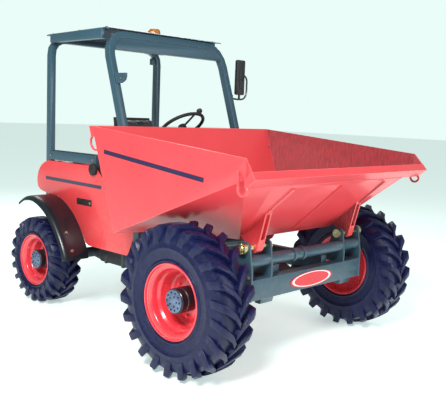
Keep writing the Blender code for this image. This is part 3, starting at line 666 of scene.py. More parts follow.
def flowing(points: Outline, steps: int = 5) -> list[Vector]:
    """Returns a smooth line through points.

    Args:
        points: Points that the line passes through.
        steps: Number of stretches between two points.
    Returns:
        The points of the smooth line.
    """
    spots = [Vector(point) for point in points]
    spots = [2 * spots[0] - spots[1], *spots, 2 * spots[-1] - spots[-2]]
    line = []
    for p, q, r, s in zip(spots, spots[1:], spots[2:], spots[3:]):
        for t in (k / steps for k in range(steps)):
            line.append(0.5 * (2 * q + (r - p) * t + (2 * p - 5 * q + 4 * r - s) * t * t
                + (3 * q - p - 3 * r + s) * t ** 3))
    return line + [spots[-2]]



# ---------------------------------------------------------------- wheels
@dataclass
class Wheel:
    """One wheel: a lugged traction tyre, a welded steel disc rim and a bolted hub."""

    end: str
    side: str
    body: Body
    lugs: int
    lug_height: float
    lug_width: float
    skew: float
    nuts: int = 8
    hub_radius: float = 0.080

    def __post_init__(self) -> None:
        """Reads the wheel's centre and sizes from its CAD boxes."""
        low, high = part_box(f"tyre_{self.end}_{self.side}")
        rim_low, rim_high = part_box(f"rim_{self.end}_{self.side}")
        self.centre = (low + high) / 2
        self.outward = 1.0 if self.centre.x > 0 else -1.0
        self.radius = (high.z - low.z) / 2
        self.half = (high.x - low.x) / 2
        self.flange = (rim_high.z - rim_low.z) / 2
        self.place = facing(self.centre, (self.outward, 0, 0))

    def build(self) -> None:
        """Builds and dresses the tyre, the rim and the hub."""
        self.tyre()
        self.rim()
        self.hub()

    def tyre(self) -> None:
        """Builds the carcass with its sidewall ribs, and two rows of chevron lugs."""
        r, w, bead = self.radius, self.half, self.flange + 0.001
        tread = r - self.lug_height
        wall = tread - bead
        half = [(bead - 0.020, w - 0.034), (bead, w - 0.030), (bead + 0.004, w - 0.014),
            (bead + 0.012, w - 0.008), (bead + 0.020, w - 0.011), (bead + 0.026, w - 0.016),
            (bead + 0.30 * wall, w - 0.009), (bead + 0.42 * wall, w - 0.004), (bead + 0.44 * wall,
            w - 0.001), (bead + 0.47 * wall, w - 0.001), (bead + 0.49 * wall, w - 0.003),
            (bead + 0.62 * wall, w - 0.003), (bead + 0.78 * wall, w - 0.010),
            (tread - 0.016, w - 0.026), (tread - 0.005, w - 0.048), (tread, w - 0.080),
            (tread + 0.002, 0.0)]
        part = Workpiece()
        part.lathe(half + [(q, -x) for q, x in half[-2::-1]], self.place, steps=96, ring=True)
        # A lug runs from the tread's middle over the shoulder; each row is (along, foot, crest).
        rows = [(0.00, (tread - 0.008, -0.010), (r - 0.001, -0.008)),
            (0.40, (tread - 0.008, w * 0.34), (r, w * 0.34)), (0.70, (tread - 0.014, w - 0.054),
            (r - 0.003, w - 0.026)), (0.80, (tread - 0.034, w - 0.026), (r - 0.014, w - 0.002)),
            (0.90, (tread - 0.055, w - 0.022), (tread - 0.030, w + 0.003)),
            (1.00, (tread - 0.088, w - 0.016), (tread - 0.082, w + 0.001))]
        for row in range(2):
            for k in range(self.lugs):
                turn = math.tau * (k + 0.5 * row) / self.lugs
                part.take(self.lug(rows, turn, 1.0 if row else -1.0),
                    Matrix.Translation(self.centre))
        part.piece(f"{self.end}_{self.side}_tyre", Coat.RUBBER, self.body,
            (f"tyre_{self.end}_{self.side}",), 28.0)

    def lug(self, rows: list[tuple[float, tuple[float, float], tuple[float, float]]], turn: float,
            hand: float) -> bmesh.types.BMesh:
        """Shapes one lug, wrapped round the tyre.

        Args:
            rows: Stations along the lug with the (radius, offset) of its foot and of its crest.
            turn: Angle of the lug's middle end, from the top towards the front.
            hand: 1 for the row on the machine's left, -1 for its right.
        Returns:
            The lug about the wheel's centre.
        """
        shape = bmesh.new()
        bmesh.ops.create_cube(shape, size=1.0)
        rim = [e for e in shape.edges if all(v.co.z > 0 for v in e.verts)]
        bmesh.ops.bevel(shape, geom=rim, offset=0.13, segments=2, affect="EDGES", profile=0.5,
            material=-1)
        for station in (0.12, 0.28, 0.40, 0.56, 0.70, 0.75, 0.80, 0.85, 0.90, 0.95):
            bmesh.ops.bisect_plane(shape, geom=shape.verts[:] + shape.edges[:] + shape.faces[:],
                plane_co=(station - 0.5, 0, 0), plane_no=(1, 0, 0))
        for vert in shape.verts:
            along, across, up = vert.co.x + 0.5, vert.co.y, vert.co.z + 0.5
            i = next(i for i in range(1, len(rows)) if along <= rows[i][0] + 1e-6)
            (a, foot_a, crest_a), (b, foot_b, crest_b) = rows[i - 1], rows[i]
            t = (along - a) / (b - a)
            foot = Vector(foot_a).lerp(Vector(foot_b), t)
            spot = foot.lerp(Vector(crest_a).lerp(Vector(crest_b), t), up)
            width = self.lug_width * (0.74 + 0.40 * along) * (1.10 - 0.22 * up)
            swing = turn - (self.skew * (along ** 0.85) - across * width) / self.radius
            vert.co = (hand * spot.y, -spot.x * math.sin(swing), spot.x * math.cos(swing))
        bmesh.ops.recalc_face_normals(shape, faces=shape.faces)
        return shape

    def rim(self) -> None:
        """Builds the rolled flange, the stepped barrel and the dished disc as one pressing."""
        f, b = self.flange, self.half - 0.030
        d = f - 0.062
        outline = [(f, b + 0.008), (f + 0.001, b + 0.015), (f - 0.004, b + 0.019),
            (f - 0.010, b + 0.016), (f - 0.013, b + 0.006), (f - 0.017, b - 0.004),
            (f - 0.034, b - 0.010), (f - 0.040, b - 0.018), (f - 0.041, b - 0.050),
            (f - 0.047, b - 0.060), (f - 0.057, b - 0.066), (d, b - 0.075), (d - 0.001, -0.028),
            (d - 0.008, -0.040), (d - 0.020, -0.045), (f * 0.60, -0.043), (f * 0.56, -0.034),
            (f * 0.52, -0.030), (f * 0.33, -0.030), (f * 0.33, -0.038), (f * 0.52, -0.038),
            (f * 0.57, -0.043), (f * 0.62, -0.052), (d - 0.006, -0.056), (f - 0.044, -b + 0.030),
            (f - 0.034, -b + 0.016), (f - 0.024, -b - 0.004), (f - 0.014, -b - 0.016),
            (f - 0.003, -b - 0.018), (f, -b - 0.010), (f - 0.010, -b - 0.006),
            (f - 0.021, -b + 0.002), (f - 0.022, b - 0.002), (f - 0.010, b + 0.005)]
        part = Workpiece()
        part.lathe(outline, self.place, steps=96, ring=True)
        part.piece(f"{self.end}_{self.side}_rim", Coat.RIM, self.body,
            (f"rim_{self.end}_{self.side}",), 40.0)

    def hub(self) -> None:
        """Builds the hub's dark barrel and its bolted grey end cover, and the wheel nuts and valve beside it."""
        h = self.hub_radius
        cover, barrel, nuts = Workpiece(), Workpiece(), Workpiece()
        cover.lathe([(0.0, 0.0995), (h * 0.20, 0.0995), (h * 0.24, 0.0975), (h * 0.82, 0.0970),
            (h * 0.895, 0.0935), (h * 0.895, 0.086), (0.0, 0.086)], self.place, steps=64)
        cover.piece(f"{self.end}_{self.side}_hub_cover", Coat.HUB, self.body)
        barrel.lathe([(0.0, 0.0885), (h * 0.96, 0.0885), (h, 0.085), (h, 0.060), (h * 0.94, 0.056),
            (h * 0.94, 0.040), (h, 0.036), (h, -0.092), (0.0, -0.092)], self.place, steps=64)
        self.ring_of_bolts(barrel, 10, h * 0.70, 0.0965, 0.009)
        self.ring_of_bolts(barrel, 5, h * 0.40, 0.0970, 0.008)
        barrel.piece(f"{self.end}_{self.side}_hub_barrel", Coat.POWDER, self.body)
        self.ring_of_bolts(nuts, self.nuts, self.flange * 0.47, -0.030, 0.020)
        stem = self.place @ Vector((self.flange * 0.66, 0.0, -0.030))
        nuts.bar(stem, self.place @ Vector((self.flange * 0.70, 0.0, 0.012)), 0.0045, sides=12,
            bevel=0.001)
        nuts.piece(f"{self.end}_{self.side}_wheel_nuts", Coat.RIM, self.body)

    def ring_of_bolts(self, part: Workpiece, count: int, radius: float, along: float,
            across: float) -> None:
        """Adds evenly spaced bolts that face outboard."""
        for k in range(count):
            a = math.tau * k / count
            part.bolt(self.place @ Vector((radius * math.cos(a), radius * math.sin(a), along)),
                (self.outward, 0, 0), across)


# ---------------------------------------------------------------- skip
@dataclass
class Skip:
    """The forward-tipping skip: its pressed shell, lifting loops and hinge fittings."""

    loop_bar: float = 0.008
    edge_round: float = 0.0025
    ribs: tuple[float, ...] = (-0.516, 0.0, 0.516)
    front_loop: list[tuple[float, float, float]] = field(default_factory=lambda: [(0.944, -0.439,
        1.316), (0.958, -0.456, 1.285), (0.962, -0.462, 1.240), (0.962, -0.464, 1.204),
        (0.962, -0.492, 1.184), (0.960, -0.528, 1.204), (0.956, -0.526, 1.226),
        (0.950, -0.508, 1.240)])
    rear_loop: list[tuple[float, float, float]] = field(default_factory=lambda: [(0.905, 0.968,
        1.452), (0.905, 1.000, 1.436), (0.905, 1.012, 1.408), (0.905, 1.000, 1.372),
        (0.905, 0.968, 1.350), (0.905, 0.930, 1.352), (0.905, 0.904, 1.368)])

    def build(self) -> None:
        """Builds the shell with rounded edges and welds its loops on."""
        shell = Workpiece()
        shell.copy_of("skip_tub", self.edge_round)
        shell.piece("skip_shell", Coat.SKIP, Body.SKIP, ("skip_tub",), 20.0)
        for name, path in (("front", self.front_loop), ("rear", self.rear_loop)):
            loops = Workpiece()
            for s in (-1, 1):
                loops.tube([(s * x, aft(u), z) for x, u, z in path], self.loop_bar)
                for x, u, z in (path[0], path[-1]):
                    loops.bar((s * (x - 0.006), aft(u), z), (s * (x + 0.004), aft(u), z),
                        self.loop_bar * 1.7, self.loop_bar * 1.2, 16, 0.002)
            loops.piece(f"skip_{name}_lifting_loops", Coat.SKIP, Body.SKIP)
        self.seams()

    def seams(self) -> None:
        """Lays the weld beads where the rear rim and the ribs meet the shell."""
        beads = Workpiece()
        beads.tube([(-0.925, aft(0.934), 1.440), (0.925, aft(0.934), 1.440)], 0.0035, smooth=False)
        for x in self.ribs:
            for s in (-1, 1):
                beads.tube([(x + s * 0.0145, aft(-0.522 + 0.7513 * t), 1.227 - 0.6599 * t - 0.0045)
                    for t in (0.035, 0.20, 0.38, 0.535)], 0.003, smooth=False)
        for s in (-1, 1):
            for x in (0.474, 0.536):
                beads.tube([(s * x, aft(u), z) for u, z in ((-0.316, 1.043), (-0.21, 0.949),
                    (-0.112, 0.864))], 0.004, smooth=False)
        beads.piece("skip_weld_beads", Coat.SKIP, Body.SKIP)


# ---------------------------------------------------------------- chassis and running gear
@dataclass
class Chassis:
    """The rails, front frame and drive line, with their pins, bolts and pipes."""

    pin: Point = (0.650, -0.22, 0.805)
    pad_bolts: Outline = field(default_factory=lambda: [(0.237, -0.045), (0.237, 0.045),
        (0.303, -0.045), (0.303, 0.045)])
    pad_underside: float = 0.4895
    plate_bolts: Outline = field(default_factory=lambda: [(0.30, 0.55), (0.30, 0.76)])
    plate_face: float = 2.165
    hitch_bolt_height: float = 0.66
    foot_bolts: Outline = field(default_factory=lambda: [(0.561, 0.799), (0.561, 0.847)])
    foot_top: float = 0.6523
    beam_end: float = 0.612
    beam_bolts: Outline = field(default_factory=lambda: [(-0.262, 0.500), (-0.120, 0.500),
        (-0.262, 0.625), (-0.120, 0.590)])
    pipe_x: float = 0.312
    pipe_heights: tuple[float, float] = (0.640, 0.622)
    pipe_radius: float = 0.006
    clamps_at: tuple[float, ...] = (0.12, 0.40, 0.70)
    strap_shares: tuple[float, float] = (0.22, 0.78)
    strap_half: float = 0.012

    def build(self) -> None:
        """Rounds the welded frames, dresses the castings and adds the fittings."""
        for node, width in (("front_frame", 0.0025), ("chassis_rails", 0.003)):
            part = Workpiece()
            part.copy_of(node, width)
            part.piece(node.replace("_", "-"), Coat.TEAL, Body.CHASSIS, (node,), 30.0)
        dress(Coat.IRON, "front_axle", "rear_axle", "engine_block", "transmission", "knuckle_left",
            "knuckle_right")
        dress(Coat.YELLOW_ZINC, "tip_pin_right", "tip_pin_left")
        dress(Coat.ZINC, "tie_rod")
        dress(Coat.TEAL, "ram_barrel")
        dress(Coat.CHROME, "ram_rod")
        dress(Coat.BADGE, "badge_plate")
        dress(Coat.TANK, "fuel_tank", "oil_tank")
        self.pins()
        self.bolts()
        self.pipes()
        self.tanks()

    def pins(self) -> None:
        """Adds a castle nut and a keeper to the head of each skip hinge pin."""
        part = Workpiece()
        x, u, z = self.pin
        for s in (-1, 1):
            at = Vector((s * x, aft(u), z))
            out = Vector((s, 0, 0))
            part.lathe([(0, 0.004), (0.018, 0.004), (0.021, 0.001), (0.021, -0.001), (0, -0.001)],
                facing(at, out), 32)
            part.bolt(at + out * 0.003, out, 0.024)
            part.block((-0.006, -0.034, 0.0), (0.006, 0.034, 0.004), 0.0015, 1, facing(at, out))
            for a in range(0, 360, 60):
                q = Vector((0, math.cos(math.radians(a)), math.sin(math.radians(a)))) * 0.029
                part.bolt(at + q, out, 0.007)
        part.piece("hinge_pin_nuts", Coat.YELLOW_ZINC)

    def bolts(self) -> None:
        """Adds the bolts of the axle pads, the beam ends, the rear plate and the hoop feet."""
        part = Workpiece()
        for s in (-1, 1):
            for x, u in self.pad_bolts:
                part.bolt((s * x, aft(u), self.pad_underside), (0, 0, -1), 0.018)
            for x, z in self.plate_bolts:
                part.bolt((s * x, aft(self.plate_face), z), (0, 1, 0), 0.024)
            for x, u in self.foot_bolts:
                part.bolt((s * x, aft(u), self.foot_top), (0, 0, 1), 0.016)
            for u, z in self.beam_bolts:
                part.bolt((s * self.beam_end, aft(u), z), (s, 0, 0), 0.018)
        part.bolt((0.0, aft(self.plate_face), self.hitch_bolt_height), (0, 1, 0), 0.036)
        part.piece("chassis_bolts", Coat.ZINC)

    def pipes(self) -> None:
        """Runs two steel hydraulic pipes along the left rail, with their clamps."""
        part = Workpiece()
        clamps = Workpiece()
        for z in self.pipe_heights:
            part.tube([(self.pipe_x, aft(u), z) for u in (0.02, 0.10, 0.40, 0.74)],
                self.pipe_radius)
        for u in self.clamps_at:
            clamps.block((0.299, aft(u - 0.014), 0.611), (0.322, aft(u + 0.014), 0.651), 0.003)
            clamps.bolt((0.322, aft(u), 0.631), (1, 0, 0), 0.011)
        part.piece("hydraulic_pipes", Coat.ZINC)
        clamps.piece("pipe_clamps", Coat.ABS)

    def tanks(self) -> None:
        """Adds the steel straps round the fuel and oil tanks."""
        part = Workpiece()
        for node in ("fuel_tank", "oil_tank"):
            low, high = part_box(node)
            for share in self.strap_shares:
                y = low.y + (high.y - low.y) * share
                front, back = y - self.strap_half, y + self.strap_half
                part.block((low.x - 0.002, front, low.z - 0.003), (high.x + 0.002, back,
                    low.z + 0.002), 0.001, 1)
                for x in (low.x - 0.002, high.x - 0.001):
                    part.block((x, front, low.z - 0.003), (x + 0.003, back, high.z - 0.01), 0.001,
                        1)
        part.piece("tank_straps", Coat.POWDER)


# ---------------------------------------------------------------- body
@dataclass
class Bodywork:
    """Side panels, engine cover, mudguards and floor, with their trim."""

    latch: tuple[float, float] = (1.510, 0.896)
    cap: tuple[float, float] = (1.378, 1.167)
    arch: Outline = field(default_factory=lambda: [(0.120, 0.492), (0.040, 0.535), (-0.040, 0.550),
        (-0.135, 0.543), (-0.255, 0.498), (-0.370, 0.418), (-0.460, 0.320), (-0.533, 0.215),
        (-0.570, 0.140), (-0.582, 0.096)])
    guard_section: Outline = field(default_factory=lambda: [(0.606, 0.000), (0.700, 0.000),
        (0.775, 0.001), (0.800, 0.004), (0.815, 0.011), (0.824, 0.021), (0.828, 0.036)])
    guard_sheet: float = 0.004
    guard_bolt_x: float = 0.745
    guard_bolt_stations: tuple[int, ...] = (31, 38)
    panel_edge: float = 0.0018
    pedals: tuple[float, float] = (-0.17, 0.33)

    def build(self) -> None:
        """Rounds the pressed panels and fits their trim."""
        for node in ("side_panel_left", "side_panel_right", "engine_cover"):
            part = Workpiece()
            part.copy_of(node, self.panel_edge)
            part.piece(node.replace("_", "-"), Coat.PANEL, Body.CHASSIS, (node,), 32.0)
        self.mudguards()
        dress(Coat.TREAD, "floor_plate")
        self.latches()
        self.filler_cap()
        self.hood()
        self.tail()
        self.floor()

    def latches(self) -> None:
        """Sets a recessed paddle latch with a key barrel into each side panel."""
        tray, paddle, key = Workpiece(), Workpiece(), Workpiece()
        u, z = self.latch
        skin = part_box("side_panel_left")[1].x
        for s in (-1, 1):
            def at(out: float, du: float, dz: float) -> Point:
                """Returns a place this far out, back and up from the latch's middle."""
                return s * (skin + out), aft(u + du), z + dz
            for out, du, dz, work in ((0.0035, 0.100, 0.025, tray), (0.009, 0.064, 0.015, paddle)):
                a, b = at(-0.001, -du, -dz), at(out, du, dz)
                work.block(tuple(map(min, a, b)), tuple(map(max, a, b)), 0.003)
            key.bar(at(0.002, -0.083, 0), at(0.011, -0.083, 0), 0.011, sides=20, bevel=0.002)
        tray.piece("latch_trays", Coat.ABS)
        paddle.piece("latch_paddles", Coat.SOFT)
        key.piece("latch_key_barrels", Coat.ZINC)

    def filler_cap(self) -> None:
        """Puts the filler cap, with its grip ribs, at the front top corner of the right panel."""
        part = Workpiece()
        u, z = self.cap
        place = facing((-0.604, aft(u), z), (-1, 0, 0))
        part.lathe([(0, 0.036), (0.030, 0.036), (0.040, 0.030), (0.043, 0.022), (0.043, 0.008),
            (0.036, 0.004), (0.036, -0.014), (0, -0.014)], place, 48)
        for k in range(12):
            turned = place @ Matrix.Rotation(math.tau * k / 12, 4, "Z")
            part.block((0.040, -0.004, 0.009), (0.0465, 0.004, 0.029), 0.0015, 1, turned)
        part.piece("filler_cap", Coat.ABS)

    def hood(self) -> None:
        """Lays the lift-off lid with its hinges on the hood, and the rubber mat on the seat deck."""
        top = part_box("engine_cover")[1].z
        lid = Workpiece()
        lid.block((-0.440, aft(1.815), top - 0.004), (0.440, aft(1.988), top + 0.006), 0.0025)
        for x in (-0.30, -0.15, 0.0, 0.15, 0.30):
            lid.block((x - 0.055, aft(1.845), top + 0.004), (x + 0.055, aft(1.960), top + 0.009),
                0.0022)
        lid.piece("hood_lid", Coat.PANEL)
        pins = Workpiece()
        for x in (-0.33, 0.33):
            pins.bar((x - 0.035, aft(1.812), top + 0.006), (x + 0.035, aft(1.812), top + 0.006),
                0.006, sides=16, bevel=0.001)
            pins.bolt((x, aft(1.834), top + 0.0055), (0, 0, 1), 0.012)
        pins.piece("hood_hinges", Coat.ZINC)
        mat = Workpiece()
        mat.block((-0.540, aft(1.306), 1.1002), (0.540, aft(1.358), 1.1045), 0.0015, 1)
        for left, right in ((-0.540, -0.110), (0.270, 0.540)):
            mat.block((left, aft(1.358), 1.1002), (right, aft(1.752), 1.1045), 0.0015, 1)
            for k in range(11):
                mat.block((left + 0.012, aft(1.375 + 0.034 * k), 1.1040),
                    (right - 0.012, aft(1.391 + 0.034 * k), 1.1064), 0.001, 1)
        mat.piece("deck_mat", Coat.MAT)

    def tail(self) -> None:
        """Fits the louvred grille and the tail lamps at the rear of the cover."""
        grille, lens, house = Workpiece(), Workpiece(), Workpiece()
        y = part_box("engine_cover")[1].y
        grille.block((-0.270, y - 0.016, 0.966), (0.270, y + 0.002, 1.062), 0.002, 1)
        for k in range(5):
            z = 0.974 + 0.0170 * k
            grille.plate([(y, z), (y + 0.010, z - 0.002), (y + 0.012, z + 0.001), (y, z + 0.012)],
                -0.260, 0.260, 0.0008)
        for s in (-1, 1):
            x = s * 0.440
            house.block((x - 0.062, y - 0.014, 0.974), (x + 0.062, y + 0.022, 1.054), 0.006)
            lens.block((x - 0.054, y + 0.018, 0.981), (x + 0.054, y + 0.031, 1.047), 0.006, 3)
        grille.piece("tail_grille", Coat.POWDER)
        house.piece("tail_lamp_housings", Coat.ABS)
        lens.piece("tail_lamp_lenses", Coat.RED_LENS)

    def mudguards(self) -> None:
        """Sweeps each mudguard's rolled section along the wheel arch and bolts it to the side."""
        bolts = Workpiece()
        line = flowing(self.arch)
        for side, s in (("left", 1), ("right", -1)):
            shape = bmesh.new()
            edges = []
            for k, spot in enumerate(line):
                ahead = (line[min(k + 1, len(line) - 1)] - line[max(k - 1, 0)]).normalized()
                inward = Vector((0, ahead.y, -ahead.x)) if ahead.x > 0 else Vector((0, -ahead.y,
                    ahead.x))
                at = Vector((0, REAR_AXLE.y + spot.x, REAR_AXLE.z + spot.y))
                if edges:
                    grown = bmesh.ops.extrude_edge_only(shape, edges=edges)["geom"]
                    row = sorted((g for g in grown if isinstance(g, bmesh.types.BMVert)),
                        key=lambda v: abs(v.co.x))
                    edges = [g for g in grown if isinstance(g, bmesh.types.BMEdge)]
                    edges = [e for e in edges if all(v in row for v in e.verts)]
                else:
                    row = [shape.verts.new((s * x, 0, 0)) for x, _ in self.guard_section]
                    edges = [shape.edges.new(pair) for pair in zip(row, row[1:])]
                for vert, (x, drop) in zip(row, self.guard_section):
                    vert.co = at + inward * drop + Vector((s * x, 0, 0))
                if k in self.guard_bolt_stations:
                    bolts.bolt(at + Vector((s * self.guard_bolt_x, 0, 0)) - inward * 0.0005,
                        -inward, 0.017)
            bmesh.ops.recalc_face_normals(shape, faces=shape.faces)
            bmesh.ops.solidify(shape, geom=shape.faces[:], thickness=self.guard_sheet)
            bmesh.ops.recalc_face_normals(shape, faces=shape.faces)
            part = Workpiece()
            part.take(shape)
            part.piece(f"mudguard-{side}", Coat.POWDER, Body.CHASSIS, (f"mudguard_{side}",), 40.0)
        bolts.piece("mudguard_bolts", Coat.ZINC)

    def floor(self) -> None:
        """Raises the tread pattern on the floor plate and fits the brake and throttle pedals."""
        tread = Workpiece()
        for i in range(20):
            for k in range(6):
                x, u = -0.500 + 0.0526 * i, 0.965 + 0.058 * k
                if (abs(x - 0.080) < 0.185 and u < 1.15) or (abs(x - 0.290) < 0.055 and u > 1.19):
                    continue
                turn = Matrix.Translation((x, aft(u), 0.6602)) @ Matrix.Rotation(math.radians(45
                    if (i + k) % 2 else -45), 4, "Z")
                tread.block((-0.014, -0.0035, 0.0), (0.014, 0.0035, 0.0022), 0.0009, 1, turn)
        tread.piece("floor_tread_bars", Coat.TREAD)
        pads, arms = Workpiece(), Workpiece()
        for x in self.pedals:
            place = Matrix.Translation((x, aft(0.965), 0.775)) @ Matrix.Rotation(math.radians(-48),
                4, "X")
            pads.block((-0.042, -0.048, 0.0), (0.042, 0.048, 0.010), 0.004, 2, place)
            for k in range(5):
                pads.block((-0.036, -0.038 + 0.016 * k, 0.008), (0.036, -0.030 + 0.016 * k, 0.013),
                    0.001, 1, place)
            arms.tube([(x, aft(0.958), 0.773), (x, aft(0.925), 0.745), (x, aft(0.895), 0.700)],
                0.008)
        pads.piece("pedal_pads", Coat.SOFT)
        arms.piece("pedal_arms", Coat.POWDER)


# ---------------------------------------------------------------- canopy
@dataclass
class Canopy:
    """The four-post canopy with its beacon and mirror."""

    beacon: tuple[float, float] = (0.105, 1.550)
    flutes: int = 40
    roof_front: tuple[float, float] = (1.262, 2.2465)
    roof_fall: float = -0.018
    roof_run: float = 0.798
    swages: tuple[float, ...] = (-0.42, -0.21, 0.30, 0.48)
    rail_bolts: tuple[float, ...] = (0.05, 0.40, 0.77)
    waist_bolts: tuple[float, float] = (1.406, 1.996)

    def build(self) -> None:
        """Rounds the hoops and roof, and fits what is bolted to them."""
        for node, width in (("front_hoop", 0.005), ("rear_hoop", 0.005), ("roof_panel", 0.002)):
            part = Workpiece()
            part.copy_of(node, width)
            part.piece(node.replace("_", "-"), Coat.TEAL, Body.CHASSIS, (node,), 30.0)
        self.fittings()
        self.lamp()
        self.rear_view_mirror()

    def fittings(self) -> None:
        """Adds the roof swages, the cable box on the left rear post, the rail pads, the bolts and a dark sheet
        of painted shade under the roof.
        """
        swage, box, bolts, pad, shade_sheet = (Workpiece() for _ in range(5))
        u, z = self.roof_front
        slope = (Matrix.Translation((0, aft(u), z)) @ Matrix.Rotation(math.atan2(self.roof_fall,
            self.roof_run), 4, "X"))
        # A dark sheet under the roof paints in the shade of its underside.
        shade_sheet.block((-0.555, 0.022, -0.0105), (0.555, 0.772, -0.0060), 0.001, 1, slope)
        for x in self.swages:
            swage.block((x - 0.028, 0.06, -0.003), (x + 0.028, 0.76, 0.004), 0.003, 2, slope)
        box.block((0.500, aft(2.030), 2.065), (0.549, aft(2.070), 2.125), 0.004)
        for s in (-1, 1):
            for y in self.rail_bolts:
                bolts.bolt(slope @ Vector((s * 0.565, y, 0.0)), (0, 0, 1), 0.016)
            for u in self.waist_bolts:
                bolts.bolt((s * 0.598, aft(u), 1.2375), (s, 0, 0), 0.018)
            pad.block((min(s * 0.549, s * 0.597), aft(1.392), 1.2745), (max(s * 0.549, s * 0.597),
                aft(1.985), 1.2795), 0.002, 1)
        bolts.bolt((-0.610, aft(1.060), 1.865), (-1, 0, 0), 0.016)
        shade_sheet.piece("roof_underside_shade_sheet", Coat.ROOF_SHADE_SHEET)
        swage.piece("roof_swages", Coat.TEAL)
        box.piece("cable_box", Coat.TEAL)
        bolts.piece("canopy_bolts", Coat.ZINC)
        pad.piece("waist_rail_pads", Coat.MAT)

    def lamp(self) -> None:
        """Builds the beacon: gasketed base, reflector and fluted amber dome."""
        x, u = self.beacon
        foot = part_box("beacon_base")[0].z
        base, dome, bulb = Workpiece(), Workpiece(), Workpiece()
        up = Matrix.Translation((x, aft(u), foot))
        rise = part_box("beacon_dome")[1].z - foot
        base.lathe([(0, 0), (0.060, 0), (0.060, 0.006), (0.057, 0.009), (0.057, 0.017),
            (0.052, 0.0198), (0, 0.0198)], up, 48)
        dome.lathe([(0.0530, 0.0203), (0.0537, 0.024), (0.0530, 0.028), (0.0520, rise * 0.62),
            (0.0490, rise * 0.82), (0.039, rise * 0.95), (0.020, rise * 0.99), (0, rise),
            (0, rise - 0.003), (0.036, rise * 0.91), (0.0455, rise * 0.80), (0.0485, 0.030),
            (0.0485, 0.0203)], up, self.flutes * 4)
        for vert in dome.bm.verts:
            out = vert.co - Vector((x, aft(u), vert.co.z))
            if out.length > 0.0495:
                wave = math.cos(math.atan2(out.y, out.x) * self.flutes)
                vert.co += out.normalized() * 0.0007 * wave
        bulb.lathe([(0, 0.022), (0.030, 0.022), (0.034, 0.030), (0.014, 0.034), (0.014, 0.052),
            (0.008, 0.060), (0, 0.062)], up, 32)
        base.piece("beacon_foot", Coat.ABS, Body.CHASSIS, ("beacon_base",))
        dome.piece("beacon_lens", Coat.AMBER, Body.CHASSIS, ("beacon_dome",))
        bulb.piece("beacon_lamp", Coat.MIRROR)

    def rear_view_mirror(self) -> None:
        """Builds the mirror: bent arm, clamp, moulded back and silvered glass that faces the driver."""
        arm, back, glass = Workpiece(), Workpiece(), Workpiece()
        arm.tube([(x, aft(u), z) for x, u, z in ((0.632, 1.130, 1.775), (0.672, 1.116, 1.767),
            (0.720, 1.105, 1.765), (0.766, 1.105, 1.772), (0.792, 1.105, 1.792),
            (0.806, 1.105, 1.830), (0.807, 1.105, 1.890), (0.804, 1.105, 1.938),
            (0.784, 1.105, 1.966), (0.752, 1.105, 1.975))], 0.008)
        arm.bar((0.714, aft(1.105), 1.765), (0.714, aft(1.105), 1.822), 0.010, sides=18,
            bevel=0.001)
        arm.block((0.6285, aft(1.106), 1.752), (0.641, aft(1.150), 1.800), 0.003)
        back.block((0.664, aft(1.085), 1.803), (0.764, aft(1.123), 2.103), 0.013, 4)
        back.block((0.689, aft(1.079), 1.860), (0.739, aft(1.091), 2.020), 0.005, 2)
        back.bar((0.714, aft(1.081), 1.935), (0.746, aft(1.089), 1.948), 0.011, sides=18,
            bevel=0.001)
        glass.block((0.671, aft(1.121), 1.812), (0.757, aft(1.1255), 2.094), 0.002, 2)
        arm.piece("mirror_arm", Coat.POWDER, Body.CHASSIS, ("mirror",))
        back.piece("mirror_back", Coat.ABS)
        glass.piece("mirror_glass", Coat.MIRROR)


